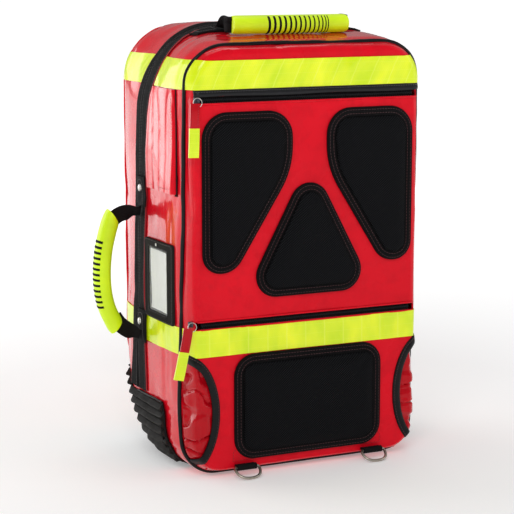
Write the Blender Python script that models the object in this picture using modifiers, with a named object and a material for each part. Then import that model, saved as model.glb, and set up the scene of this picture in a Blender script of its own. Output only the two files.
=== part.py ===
"""Trauma backpack standing upright: a clamshell bag whose back half carries the stowed harness.

Metres, Z up. The harness side faces -Y and the lid faces +Y. The side handle is at -X.
The origin is on the floor, below the middle of the back half.
"""

import math

import bpy
import numpy as np
from mathutils import Vector

# The bag's outer section at each depth Y: half width, bottom, top, upper and lower corner radius.
SECTIONS = np.array(
    [
        (-0.1155, 0.1630, 0.0120, 0.5780, 0.044, 0.036),
        (-0.1135, 0.1675, 0.0100, 0.5825, 0.048, 0.039),
        (-0.1080, 0.1698, 0.0090, 0.5848, 0.050, 0.040),
        (-0.1035, 0.1700, 0.0090, 0.5850, 0.050, 0.040),
        (-0.0985, 0.1765, 0.0045, 0.5900, 0.054, 0.044),
        (-0.0800, 0.1795, 0.0030, 0.5935, 0.060, 0.046),
        (-0.0500, 0.1825, 0.0030, 0.5980, 0.072, 0.050),
        (0.0000, 0.1840, 0.0030, 0.6040, 0.095, 0.050),
        (0.0180, 0.1843, 0.0030, 0.6064, 0.105, 0.050),
        (0.0300, 0.1845, 0.0049, 0.6080, 0.112, 0.050),
        (0.0556, 0.1845, 0.0178, 0.6100, 0.115, 0.050),
        (0.0750, 0.1840, 0.0342, 0.6110, 0.112, 0.050),
        (0.0950, 0.1820, 0.0578, 0.6105, 0.100, 0.050),
        (0.1120, 0.1780, 0.0869, 0.6080, 0.082, 0.050),
        (0.1200, 0.1710, 0.1072, 0.6010, 0.070, 0.050),
        (0.1250, 0.1600, 0.1350, 0.5880, 0.055, 0.045),
    ]
)
DEPTHS = SECTIONS[:, 0]
ARC_STEPS = 6

BACK_EDGE = 0.0553
LID_EDGE = 0.0559
WALL = 0.004
PANEL_WALL = 0.0025

UPPER_BAND = (0.5300, 0.5680)
LOWER_BAND = (0.1710, 0.2085)
UPPER_ZIP_Z = 0.5170
LOWER_ZIP_Z = 0.2145
SLOT_HALF = 0.0055
ZIP_REACH = 0.168

PAD_BACK = -0.1159
PAD_FRONT = -0.1242

LID_HINGE = (0.0, 0.0556, 0.0125)
TOP_HANDLE_HINGE = (0.0, -0.015, 0.6145)
TOP_HANDLE_LEAN = math.radians(4.9)
SIDE_HANDLE_HINGE = (-0.1905, 0.032, 0.263)
SIDE_FLAP_HINGE = (-0.1872, 0.0135, 0.459)
D_RING_X = 0.098
D_RING_Y = -0.1232
D_RING_Z = 0.0140
D_RING_LEAN = math.radians(33)
ZIP_SLIDER_X = -0.163
PULL_X = -0.168
PULL_Y = -0.1252
MAIN_SLIDER_Z = (0.285, 0.335)

bag = bpy.data.collections.new("trauma_backpack")
helpers = bpy.data.collections.new("helpers")
materials = {}


# ---------------------------------------------------------------- scene and materials


def clear_scene():
    for obj in list(bpy.data.objects):
        bpy.data.objects.remove(obj, do_unlink=True)
    bpy.context.scene.collection.children.link(bag)
    bpy.context.scene.collection.children.link(helpers)
    helpers.hide_render = True


def make_material(name, colour, roughness, metallic=0.0):
    material = bpy.data.materials.new(name)
    material.use_nodes = True
    surface = material.node_tree.nodes["Principled BSDF"]
    surface.inputs["Base Color"].default_value = (*colour, 1.0)
    surface.inputs["Roughness"].default_value = roughness
    surface.inputs["Metallic"].default_value = metallic
    material.diffuse_color = (*colour, 1.0)
    materials[name] = material


def make_materials():
    make_material("red_tarpaulin", (0.80, 0.01, 0.03), 0.35)
    make_material("neon_reflective", (0.75, 0.95, 0.02), 0.30)
    make_material("black_mesh", (0.015, 0.015, 0.017), 0.85)
    make_material("black_binding", (0.012, 0.012, 0.012), 0.45)
    make_material("black_webbing", (0.020, 0.020, 0.022), 0.80)
    make_material("zip_coil", (0.010, 0.010, 0.011), 0.40)
    make_material("boot_rubber", (0.035, 0.032, 0.030), 0.75)
    make_material("window_frame", (0.065, 0.058, 0.052), 0.60)
    make_material("card_paper", (0.90, 0.90, 0.86), 0.60)
    make_material("clear_film", (0.90, 0.92, 0.92), 0.08)
    make_material("neon_grip", (0.60, 0.92, 0.02), 0.45)
    make_material("nickel_steel", (0.55, 0.50, 0.42), 0.30, 1.0)
    make_material("stiffener_plastic", (0.60, 0.60, 0.60), 0.50)


def add_mesh(name, points, faces, material, collection=bag):
    mesh = bpy.data.meshes.new(name)
    mesh.from_pydata([tuple(map(float, p)) for p in points], [], faces)
    mesh.update()
    obj = bpy.data.objects.new(name, mesh)
    collection.objects.link(obj)
    if material:
        mesh.materials.append(materials[material])
    face_out(obj)
    return obj


def face_out(obj):
    """Turns the whole skin round if its signed volume is negative."""
    mesh = obj.data
    mesh.calc_loop_triangles()
    total = 0.0
    for triangle in mesh.loop_triangles:
        a, b, c = (mesh.vertices[i].co for i in triangle.vertices)
        total += a.dot(b.cross(c))
    if total < 0:
        mesh.flip_normals()


# ---------------------------------------------------------------- section geometry


def section(y):
    return [float(np.interp(y, DEPTHS, SECTIONS[:, k])) for k in range(1, 6)]


def width_at(y, z, inset=0.0):
    """Half width of the bag at this depth and height."""
    half, bottom, top, upper, lower = section(y)
    half -= inset
    if z > top - upper:
        drop = z - (top - upper)
        return half - upper + math.sqrt(max(upper**2 - drop**2, 0.0))
    if z < bottom + lower:
        drop = bottom + lower - z
        return half - lower + math.sqrt(max(lower**2 - drop**2, 0.0))
    return half


def ring(y, inset=0.0, at=None):
    """The bag's section at depth y as a closed ring of points, placed at depth `at`."""
    half, bottom, top, upper, lower = section(y)
    half -= inset
    bottom += inset
    top -= inset
    corners = (
        (half, top, upper, 0),
        (-half, top, upper, 90),
        (-half, bottom, lower, 180),
        (half, bottom, lower, 270),
    )
    points = []
    for x, z, radius, start in corners:
        radius = max(radius - inset, 0.004)
        middle_x = x - math.copysign(radius, x)
        middle_z = z - radius if start < 180 else z + radius
        for k in range(ARC_STEPS + 1):
            angle = math.radians(start + 90 * k / ARC_STEPS)
            points.append(
                (
                    middle_x + radius * math.cos(angle),
                    y if at is None else at,
                    middle_z + radius * math.sin(angle),
                )
            )
    return points


def loft(name, rings, material, closed=False, collection=bag):
    """A skin through rings of equal length. Closed joins the last ring to the first, without caps."""
    count = len(rings[0])
    points = [p for one in rings for p in one]
    faces = []
    spans = len(rings) if closed else len(rings) - 1
    for i in range(spans):
        a = i * count
        b = ((i + 1) % len(rings)) * count
        for k in range(count):
            n = (k + 1) % count
            faces.append((a + k, a + n, b + n, b + k))
    if not closed:
        faces.append(tuple(reversed(range(count))))
        faces.append(tuple(range(len(points) - count, len(points))))
    return add_mesh(name, points, faces, material, collection)


def sheet_over(name, grid, inner, outer, material, seam=None):
    """A thin solid that follows a grid of surface points, from `inner` to `outer` above them.

    It stays on its own side of the seam, if one is given.
    """
    grid = np.array(grid, float)
    across = np.gradient(grid, axis=0)
    along = np.gradient(grid, axis=1)
    normal = np.cross(across, along)
    normal /= np.linalg.norm(normal, axis=2, keepdims=True)
    if (normal * (grid - np.array((0.0, 0.0, 0.3)))).sum() < 0:
        normal = -normal
    rows, columns = grid.shape[:2]
    points = np.concatenate(
        [(grid + normal * outer).reshape(-1, 3), (grid + normal * inner).reshape(-1, 3)]
    )
    if seam is not None:
        limit = np.minimum if seam < LID_HINGE[1] else np.maximum
        points[:, 1] = limit(points[:, 1], seam)
    under = rows * columns
    faces = []
    for i in range(rows - 1):
        for j in range(columns - 1):
            a = i * columns + j
            b = a + columns
            faces.append((a, a + 1, b + 1, b))
            faces.append((under + a, under + b, under + b + 1, under + a + 1))
    edge = [j for j in range(columns)]
    edge += [i * columns + columns - 1 for i in range(1, rows)]
    edge += [(rows - 1) * columns + j for j in range(columns - 2, -1, -1)]
    edge += [i * columns for i in range(rows - 2, 0, -1)]
    for a, b in zip(edge, edge[1:] + edge[:1]):
        faces.append((b, a, under + a, under + b))
    return add_mesh(name, points, faces, material)


def rounded(corners, radii, steps=5):
    """An XZ outline with each corner rounded to its radius."""
    if not isinstance(radii, (list, tuple)):
        radii = [radii] * len(corners)
    outline = []
    for k, corner in enumerate(corners):
        here = Vector(corner)
        back = (Vector(corners[k - 1]) - here).normalized()
        ahead = (Vector(corners[(k + 1) % len(corners)]) - here).normalized()
        half = back.angle(ahead) / 2
        radius = radii[k]
        middle = here + (back + ahead).normalized() * (radius / math.sin(half))
        start = here + back * (radius / math.tan(half)) - middle
        end = here + ahead * (radius / math.tan(half)) - middle
        turn = math.atan2(start.x * end.y - start.y * end.x, start.dot(end))
        for i in range(steps + 1):
            angle = turn * i / steps
            outline.append(
                (
                    middle.x + start.x * math.cos(angle) - start.y * math.sin(angle),
                    middle.y + start.x * math.sin(angle) + start.y * math.cos(angle),
                )
            )
    return outline


def prism(name, outline, back, front, material, bevel=0.0, collection=bag):
    """An XZ outline carried along Y from `back` to `front`."""
    rings = [[(x, y, z) for x, z in outline] for y in (back, front)]
    obj = loft(name, rings, material, collection=collection)
    if bevel:
        soften(obj, bevel)
    return obj


def box(name, low, high, material, bevel=0.0, collection=bag):
    outline = [(low[0], low[2]), (high[0], low[2]), (high[0], high[2]), (low[0], high[2])]
    return prism(name, outline, low[1], high[1], material, bevel, collection)


def soften(obj, width, segments=1):
    bevel = obj.modifiers.new("soft_edges", "BEVEL")
    bevel.width = width
    bevel.segments = segments
    bevel.limit_method = "ANGLE"
    bevel.angle_limit = math.radians(50)
    bevel.use_clamp_overlap = True


def boolean(obj, cutter, operation):
    cutter.hide_render = True
    cutter.display_type = "WIRE"
    step = obj.modifiers.new(cutter.name, "BOOLEAN")
    step.operation = operation
    step.solver = "EXACT"
    step.object = cutter
    return obj


def cutter_box(name, low, high):
    return box(name, low, high, None, collection=helpers)


def wire(name, points, radius, material, sides=2, closed=True):
    curve = bpy.data.curves.new(name, "CURVE")
    curve.dimensions = "3D"
    curve.bevel_depth = radius
    curve.bevel_resolution = sides
    curve.use_fill_caps = True
    spline = curve.splines.new("POLY")
    spline.points.add(len(points) - 1)
    for target, point in zip(spline.points, points):
        target.co = (*point, 1.0)
    spline.use_cyclic_u = closed
    curve.materials.append(materials[material])
    obj = bpy.data.objects.new(name, curve)
    bag.objects.link(obj)
    return obj


def swept(name, path, side, profile, material, hollow=None, taper=1.0, widths=None):
    """A profile of (across, along side) points carried down a path, with an optional hollow through it.

    `taper` scales the profile at both ends, and `widths` scales only its width at the first points.
    """
    path = [Vector(p) for p in path]
    side = Vector(side).normalized()
    frames = []
    for k, here in enumerate(path):
        ahead = path[min(k + 1, len(path) - 1)]
        back = path[max(k - 1, 0)]
        across = side.cross((ahead - back).normalized())
        frames.append((here, across))

    def rings_of(shape, ends):
        rings = []
        for k, (here, across) in enumerate(frames):
            from_end = min(k, len(frames) - 1 - k)
            scale = ends if from_end == 0 else 1.0
            wide = widths[from_end] if widths and from_end < len(widths) else scale
            rings.append([tuple(here + across * (u * scale) + side * (v * wide)) for u, v in shape])
        return rings

    rings = rings_of(profile, taper)
    if hollow is None:
        return loft(name, rings, material)
    return loft(name, rings + rings_of(hollow, 1.0)[::-1], material, closed=True)


def hinge_pieces(name, point, pieces):
    """Gives the pieces of one moving body an empty on its joint axis as their parent."""
    pivot = bpy.data.objects.new(name, None)
    pivot.location = point
    pivot.empty_display_size = 0.02
    bag.objects.link(pivot)
    for piece in pieces:
        piece.parent = pivot
        piece.matrix_parent_inverse.translation = -Vector(point)


# ---------------------------------------------------------------- shells


def build_back_shell():
    outer = [ring(y) for y in (-0.0980, -0.0800, -0.0500, 0.0, 0.0300, BACK_EDGE)]
    inner = [ring(y, WALL) for y in (BACK_EDGE, 0.0300, 0.0, -0.0500, -0.0800)]
    inner.append(ring(-0.0940, WALL))
    loft("back_shell", outer + inner, "red_tarpaulin")
    box("back_stiffener", (-0.150, -0.0935, 0.030), (0.150, -0.0915, 0.560), "stiffener_plastic")


def build_lid_shell():
    outer = [ring(y) for y in (0.1250, 0.1200, 0.1120, 0.0950, 0.0750, LID_EDGE)]
    inner = [ring(y, WALL) for y in (LID_EDGE, 0.0750, 0.0950, 0.1120)]
    inner.append(ring(0.1200, 0.0045, at=0.1190))
    shell = loft("lid_shell", outer + inner, "red_tarpaulin")
    route = pipe_path(0.1218, 0.1765, 0.1010, 0.6065, 0.076, 0.055)
    piping = wire("lid_piping", route, 0.0028, "red_tarpaulin", 1)
    pocket = prism(
        "lid_mesh_pocket",
        rounded([(-0.130, 0.180), (0.130, 0.180), (0.130, 0.450), (-0.130, 0.450)], 0.03, 3),
        0.1185,
        0.1172,
        "black_mesh",
    )
    return [shell, piping, pocket]


def pipe_path(y, half, bottom, top, upper, lower, steps=8):
    points = []
    corners = (
        (half, top, upper, 0),
        (-half, top, upper, 90),
        (-half, bottom, lower, 180),
        (half, bottom, lower, 270),
    )
    for x, z, radius, start in corners:
        middle_x = x - math.copysign(radius, x)
        middle_z = z - radius if start < 180 else z + radius
        for k in range(steps + 1):
            angle = math.radians(start + 90 * k / steps)
            points.append((middle_x + radius * math.cos(angle), y, middle_z + radius * math.sin(angle)))
    return points


def cover_tray(name):
    """The harness cover as one shallow tray, from which each panel keeps its own height range."""
    outer = [ring(y) for y in (-0.1155, -0.1135, -0.1080, -0.1035)]
    outer.append(ring(-0.0987))
    inner = [ring(-0.0987, 0.006), ring(-0.1035, PANEL_WALL), ring(-0.1080, PANEL_WALL)]
    inner.append(ring(-0.1155, 0.001, at=-0.1130))
    return loft(name, outer + inner, "red_tarpaulin")


def cover_panel(name, low, high, slots):
    panel = cover_tray(name)
    boolean(panel, cutter_box(f"{name}_range", (-0.3, -0.2, low), (0.3, 0.0, high)), "INTERSECT")
    for k, height in enumerate(slots):
        low_end = (-ZIP_REACH, -0.2, height - SLOT_HALF)
        high_end = (ZIP_REACH, -0.1085, height + SLOT_HALF)
        boolean(panel, cutter_box(f"{name}_slot_{k}", low_end, high_end), "DIFFERENCE")
    return panel


def hip_slot_outline(side, grow=0.0, limit=0.1655, steps=20):
    """The bound opening beside the lumbar panel: an ellipse cut off along the bag's side."""
    middle_x, middle_z, wide, tall = 0.185, 0.0920, 0.0530 + grow, 0.0760 + grow
    outline = []
    for k in range(steps + 1):
        angle = math.pi / 2 + math.pi * k / steps
        x = middle_x + wide * math.cos(angle)
        if x <= limit:
            outline.append((side * x, middle_z + tall * math.sin(angle)))
    reach = math.sqrt(1 - ((limit - middle_x) / wide) ** 2) * tall
    outline.insert(0, (side * limit, middle_z + reach))
    outline.append((side * limit, middle_z - reach))
    return outline


def build_cover():
    cover_panel("top_panel", UPPER_ZIP_Z + 0.0002, 0.7, [UPPER_ZIP_Z])
    cover_panel("harness_panel", LOWER_ZIP_Z + 0.0002, UPPER_ZIP_Z - 0.0002, [UPPER_ZIP_Z, LOWER_ZIP_Z])
    lumbar = cover_panel("lumbar_panel", -0.1, LOWER_ZIP_Z - 0.0002, [LOWER_ZIP_Z])
    for side, word in ((-1, "left"), (1, "right")):
        outline = hip_slot_outline(side, limit=0.150)
        opening = prism(f"hip_slot_{word}", outline, -0.2, -0.1090, None, collection=helpers)
        boolean(lumbar, opening, "DIFFERENCE")
        outline = hip_slot_outline(side, 0.006, 0.1525)
        prism(f"hip_slot_gusset_{word}", outline, -0.1105, -0.1120, "red_tarpaulin")
        build_hip_binding(side, word)
    prism_pieces()


def build_hip_binding(side, word):
    """The tape round the hip slot, as a bow of constant width."""
    inner = hip_slot_outline(side, 0.0, 0.150)
    outer = hip_slot_outline(side, 0.011, 0.150)
    outline = inner + outer[::-1]
    prism(f"hip_slot_binding_{word}", outline, PAD_BACK, -0.1174, "black_binding")


def prism_pieces():
    """Pads on the cover, and the straps and belt stowed behind it."""
    for side, word in ((-1, "left"), (1, "right")):
        corners = [(0.159, 0.500), (0.026, 0.500), (0.026, 0.420), (0.112, 0.284), (0.159, 0.284)]
        outline = rounded([(side * x, z) for x, z in corners], [0.036, 0.036, 0.040, 0.022, 0.026])
        prism(f"shoulder_pad_{word}", outline, PAD_BACK, PAD_FRONT, "black_mesh", 0.003)
        corners = ((0.035, 0.240), (0.100, 0.240), (0.100, 0.498), (0.035, 0.498))
        strap = rounded([(side * x, z) for x, z in corners], 0.02, 3)
        prism(f"shoulder_strap_{word}", strap, -0.1000, -0.1108, "black_mesh", 0.002)
    apex = rounded([(0.0, 0.434), (0.100, 0.246), (-0.100, 0.246)], [0.030, 0.030, 0.030], 7)
    prism("spine_pad", apex, PAD_BACK, PAD_FRONT, "black_mesh", 0.003)
    lumbar = rounded([(-0.113, 0.0225), (0.113, 0.0225), (0.113, 0.1700), (-0.113, 0.1700)], 0.030)
    prism("lumbar_pad", lumbar, PAD_BACK, PAD_FRONT, "black_mesh", 0.003)
    belt = rounded([(-0.150, 0.060), (0.150, 0.060), (0.150, 0.150), (-0.150, 0.150)], 0.02, 3)
    prism("hip_belt", belt, -0.1000, -0.1090, "black_mesh", 0.002)


# ---------------------------------------------------------------- tapes, bands and boots


def band_path(depths):
    """Y stations down one side, across the end face and back up the other side."""
    return [(-1, y) for y in depths] + [(1, y) for y in reversed(depths)]


def build_band(name, span, depths, edge_depth):
    """A reflective band wrapped round one half of the bag, from its zip tape round to the far side."""
    heights = np.linspace(span[0], span[1], 5)
    grid = []
    for side, y in band_path(depths):
        row = []
        for z in heights:
            depth = edge_depth(z) if y is None else y
            row.append((side * width_at(depth, z), depth, z))
        grid.append(row)
    return sheet_over(name, grid, 0.0007, 0.0014, "neon_reflective")


def back_tape_edge(z):
    return float(np.interp(z, (0.12, 0.26, 0.44), (0.0265, 0.0280, 0.0150)))


def lid_tape_edge(z):
    return float(np.interp(z, (0.10, 0.44), (0.0800, 0.0650)))


SIDE_SHARES = (0.0, 0.022, 0.05, 0.30, 0.60, 1.0)


def arch_point(k, steps, y, low):
    """Point k of an arch up one side of the section at depth y, over the top and down the other side."""
    half, _, top, radius, _ = section(y)
    side_steps, arc_steps, top_steps = steps
    half_count = side_steps + arc_steps + top_steps
    mirror = k > half_count
    if mirror:
        k = 2 * half_count - k
    if k <= side_steps:
        z = low + (top - radius - low) * SIDE_SHARES[k]
        point = (-width_at(y, z), y, z)
    elif k <= side_steps + arc_steps:
        angle = math.pi / 2 * (k - side_steps) / arc_steps
        point = (-(half - radius) - radius * math.cos(angle), y, top - radius + radius * math.sin(angle))
    else:
        share = (k - side_steps - arc_steps) / top_steps
        point = (-(half - radius) * (1 - share), y, top)
    return (-point[0], point[1], point[2]) if mirror else point


def build_zip_tape(name, edge, seam, low):
    """The wide black zip band on one half: from its sewn edge to the opening's edge."""
    steps = (len(SIDE_SHARES) - 1, 9, 2)
    count = 2 * sum(steps) + 1
    grid = []
    for k in range(count):
        height = arch_point(k, steps, seam, low)[2]
        row = []
        for share in (0.0, 0.25, 0.5, 0.75, 1.0):
            row.append(arch_point(k, steps, edge(height) + (seam - edge(height)) * share, low))
        grid.append(row)
    return sheet_over(name, grid, 0.0014, 0.0027, "black_webbing", seam)


def boot_column(y, top, steps=8):
    """Points down one side from `top`, under the bottom and up the other side at depth y."""
    half, bottom, _, _, lower = section(y)
    column = []
    for k in range(steps + 1):
        z = bottom + (top - bottom) * (1 - math.sin(math.pi / 2 * k / steps))
        column.append((-width_at(y, z), y, z))
    middle = (0.0, y, bottom)
    return column + [middle] + [(-x, yy, z) for x, yy, z in reversed(column)]


def build_boot(name, tops, seam):
    grid = [boot_column(y, top) for y, top in tops]
    return sheet_over(name, grid, 0.0018, 0.0030, "boot_rubber", seam)


def build_wraps():
    back = (None, 0.0, -0.0500, -0.0800, -0.0985, -0.1035, -0.1080, -0.1135, -0.1155)
    build_band("upper_band_back", UPPER_BAND, back, lambda z: back_tape_edge(z) - 0.001)
    build_band("lower_band_back", LOWER_BAND, back, lambda z: back_tape_edge(z) - 0.001)
    build_zip_tape("main_zip_back", back_tape_edge, BACK_EDGE, 0.0950)
    tops = ((-0.0980, 0.014), (-0.0800, 0.020), (-0.0500, 0.030), (-0.0450, 0.041))
    tops += ((-0.0400, 0.056), (-0.0370, 0.072), (-0.0340, 0.089), (0.0, 0.090), (0.0180, 0.090))
    tops += ((0.0300, 0.090), (BACK_EDGE, 0.090))
    build_boot("base_boot_back", tops, BACK_EDGE)


def build_lid_wraps():
    lid = (None, 0.0950, 0.1120, 0.1200, 0.1250)
    pieces = [
        build_band("upper_band_lid", UPPER_BAND, lid, lambda z: lid_tape_edge(z) + 0.001),
        build_band("lower_band_lid", LOWER_BAND, lid, lambda z: lid_tape_edge(z) + 0.001),
        build_zip_tape("main_zip_lid", lid_tape_edge, LID_EDGE, 0.0950),
    ]
    tops = ((LID_EDGE, 0.090), (0.0750, 0.090), (0.0850, 0.090), (0.0950, 0.090), (0.1020, 0.094))
    tops += ((0.1120, 0.114), (0.1140, 0.117))
    pieces.append(build_boot("base_boot_lid", tops, LID_EDGE))
    return pieces


def build_piping():
    route = pipe_path(-0.1055, 0.1748, 0.0034, 0.5903, 0.0555, 0.0455)
    wire("front_piping", route, 0.0031, "black_binding", 1)


# ---------------------------------------------------------------- zips


def build_zip(name, z, reach):
    tape = box(name, (-reach, -0.1106, z - 0.0125), (reach, -0.1096, z + 0.0125), "zip_coil")
    low, high = (-reach + 0.001, -0.1160, z - 0.0028), (reach - 0.001, -0.1100, z + 0.0028)
    coil = cutter_box(f"{name}_coil", low, high)
    boolean(tape, coil, "UNION")
    return tape


def build_slider(prefix, x, z):
    """A front slider and its tarpaulin pull with a bright tip, hanging in front of the pads."""
    low, high = (x - 0.005, -0.1230, z - 0.0045), (x + 0.005, -0.1164, z + 0.0045)
    slider = box(f"{prefix}_slider", low, high, "nickel_steel", 0.001)
    low, high = (x - 0.0015, -0.1260, z - 0.0015), (x + 0.0015, -0.1220, z + 0.0015)
    boolean(slider, cutter_box(f"{prefix}_lug", low, high), "UNION")
    top = z - 0.0035
    low, high = (PULL_X - 0.0068, PULL_Y - 0.0007, top - 0.034), (PULL_X + 0.0068, PULL_Y + 0.0005, top)
    pull = box(f"{prefix}_pull", low, high, "red_tarpaulin")
    low = (PULL_X - 0.0070, PULL_Y - 0.0009, top - 0.071)
    high = (PULL_X + 0.0070, PULL_Y + 0.0007, top - 0.0343)
    tip = box(f"{prefix}_pull_tip", low, high, "neon_reflective")
    hinge_pieces(f"{prefix}_slide", (x, -0.1164, z), [slider])
    hinge_pieces(f"{prefix}_pull_hinge", (PULL_X, PULL_Y, top), [pull, tip])


def build_main_slider(name, z, reach):
    """A slider on the hidden right side's zip, with its puller lying along the tape."""
    x = 0.1845 + 0.0028
    body = box(name, (x, 0.0500, z - 0.007), (x + 0.0055, 0.0620, z + 0.007), "nickel_steel", 0.001)
    low, high = sorted((z, z + reach))
    puller = cutter_box(f"{name}_puller", (x + 0.0045, 0.0525, low), (x + 0.0065, 0.0595, high))
    boolean(body, puller, "UNION")
    hinge_pieces(f"{name}_slide", (x, 0.0556, z), [body])


def build_zips():
    build_zip("upper_zip", UPPER_ZIP_Z, 0.1600)
    build_zip("lower_zip", LOWER_ZIP_Z, 0.1600)
    flap = (UPPER_ZIP_Z + 0.0052, UPPER_BAND[0] - 0.0004)
    box("upper_zip_flap", (-0.162, -0.1170, flap[0]), (0.162, -0.1159, flap[1]), "black_binding")
    build_slider("upper_zip", ZIP_SLIDER_X, UPPER_ZIP_Z)
    build_slider("lower_zip", ZIP_SLIDER_X, LOWER_ZIP_Z)
    build_main_slider("main_zip_slider_lower", MAIN_SLIDER_Z[0], -0.045)
    build_main_slider("main_zip_slider_upper", MAIN_SLIDER_Z[1], 0.045)


# ---------------------------------------------------------------- side fittings


def side_patch(name, low_y, high_y, low_z, high_z, inner, outer, material, columns=5):
    """A flat-sewn patch on the left side, or one on the zip tape."""
    depths = sorted(set(np.linspace(low_y, high_y, 3)) | {y for y in DEPTHS if low_y < y < high_y})
    grid = [[(-width_at(y, z), y, z) for z in np.linspace(low_z, high_z, columns)] for y in depths]
    return sheet_over(name, grid, inner, outer, material)


def build_window():
    frame = side_patch("id_window_frame", -0.0730, 0.0210, 0.2075, 0.3190, 0.0017, 0.0035, "window_frame", 2)
    hole = cutter_box("id_window_hole", (-0.30, -0.0540, 0.2185), (-0.10, 0.0060, 0.3080))
    boolean(frame, hole, "DIFFERENCE")
    side_patch("id_window_card", -0.0525, 0.0045, 0.2195, 0.3060, 0.0010, 0.0014, "card_paper", 2)
    side_patch("id_window_film", -0.0535, 0.0055, 0.2190, 0.3075, 0.0022, 0.0027, "clear_film", 2)


def build_side_flap():
    flap = side_patch("side_flap", -0.0788, 0.0130, 0.3890, 0.5290, 0.0014, 0.0030, "red_tarpaulin", 6)
    hinge_pieces("side_flap_hinge", SIDE_FLAP_HINGE, [flap])


def oval(half_u, half_v, count=12, power=1.0):
    points = []
    for k in range(count):
        angle = 2 * math.pi * k / count
        u, v = math.cos(angle), math.sin(angle)
        points.append(
            (
                half_u * math.copysign(abs(u) ** power, u),
                half_v * math.copysign(abs(v) ** power, v),
            )
        )
    return points


STRAP = [(-0.00125, -0.011), (0.00125, -0.011), (0.00125, 0.011), (-0.00125, 0.011)]
SLOT = oval(0.0021, 0.0124, 12, 0.3)
ROOT_WIDTHS = (0.40, 0.76, 0.90)


def build_side_handle():
    y = SIDE_HANDLE_HINGE[1]
    upper = [(-0.1925, 0.3480), (-0.1955, 0.3512), (-0.1990, 0.3545)]
    upper += [(-0.2090, 0.3590), (-0.2190, 0.3585), (-0.2262, 0.3540)]
    grip = [(-0.2305, 0.3480), (-0.2345, 0.3390), (-0.2392, 0.3240), (-0.2445, 0.3010), (-0.2472, 0.2736)]
    grip += [(-0.2464, 0.2460), (-0.2415, 0.2220), (-0.2330, 0.2020), (-0.2275, 0.1915)]
    lower = [(-0.2235, 0.1845), (-0.2160, 0.1765), (-0.2080, 0.1715)]
    lower += [(-0.1990, 0.1702), (-0.1955, 0.1718), (-0.1925, 0.1745)]
    path = [(x, y, z) for x, z in upper + grip + lower]
    webbing = swept("side_handle_webbing", path, (0, 1, 0), STRAP, "black_webbing", widths=ROOT_WIDTHS)
    hold = swept(
        "side_handle_grip",
        [(x, y, z) for x, z in grip],
        (0, 1, 0),
        oval(0.0120, 0.0138),
        "neon_grip",
        hollow=SLOT,
        taper=0.96,
    )
    hinge_pieces("side_handle_hinge", SIDE_HANDLE_HINGE, [webbing, hold])
    for word, low in (("upper", 0.3580), ("lower", 0.1785)):
        name = f"side_handle_anchor_{word}"
        side_patch(name, 0.0220, 0.0440, low, low + 0.044, 0.0029, 0.0044, "black_webbing", 3)
        rivet = oval(0.004, 0.004, 12)
        rings = []
        for x in (-0.18920, -0.19050):
            rings.append([(x, 0.0300 + u, low + 0.026 + v) for u, v in rivet])
        loft(f"side_handle_rivet_{word}", rings, "nickel_steel")


def build_top_handle():
    _, hinge_y, hinge_z = TOP_HANDLE_HINGE
    out_y, out_z = -math.cos(TOP_HANDLE_LEAN), -math.sin(TOP_HANDLE_LEAN)

    def in_plane(x, reach):
        return (x, hinge_y + out_y * reach, hinge_z + out_z * reach)

    half = [(-0.1020, 0.0), (-0.1020, 0.0130), (-0.1000, 0.0240), (-0.0950, 0.0325), (-0.0885, 0.0358)]
    grip_half = [(-0.0865, 0.0362), (-0.0800, 0.0364), (-0.0500, 0.0366)]
    grip = grip_half + [(0.0, 0.0368)] + [(-x, r) for x, r in reversed(grip_half)]
    path = half + grip + [(-x, r) for x, r in reversed(half)]
    normal = (0.0, -out_z, out_y)
    webbing = swept("top_handle_webbing", [in_plane(*p) for p in path], normal, STRAP, "black_webbing")
    hold = swept(
        "top_handle_grip",
        [in_plane(*p) for p in grip],
        normal,
        oval(0.0130, 0.0125),
        "neon_grip",
        hollow=oval(0.0021, 0.0118, 12, 0.3),
        taper=0.96,
    )
    hinge_pieces("top_handle_hinge", TOP_HANDLE_HINGE, [webbing, hold])
    for side, word in ((-1, "left"), (1, "right")):
        grid = []
        for y in (-0.0270, -0.0150, 0.0, 0.0060):
            grid.append([top_point(side * x, y) for x in np.linspace(0.1050, 0.1380, 5)])
        sheet_over(f"top_handle_anchor_{word}", grid, 0.0005, 0.0025, "black_webbing")


def top_point(x, y):
    half, _, top, radius, _ = section(y)
    over = abs(x) - (half - radius)
    z = top if over < 0 else top - radius + math.sqrt(max(radius**2 - over**2, 0.0))
    return (x, y, z)


def build_d_rings():
    down = Vector((0, -math.cos(D_RING_LEAN), -math.sin(D_RING_LEAN)))
    for side, word in ((-1, "left"), (1, "right")):
        middle = Vector((side * D_RING_X, D_RING_Y, D_RING_Z))
        points = [middle + Vector((x, 0, 0)) for x in (-0.0165, -0.0055, 0.0055, 0.0165)]
        for k in range(13):
            angle = math.pi * k / 12
            wide = 0.0180 * math.copysign(abs(math.cos(angle)) ** 0.8, math.cos(angle))
            deep = 0.0030 + 0.0175 * math.sin(angle) ** 0.8
            points.append(middle + Vector((wide, 0, 0)) + down * deep)
        ring_piece = wire(f"d_ring_{word}", points, 0.0020, "nickel_steel", 1)
        hinge_pieces(f"d_ring_{word}_hinge", middle, [ring_piece])
        build_ring_loop(f"d_ring_loop_{word}", side * D_RING_X)


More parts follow.
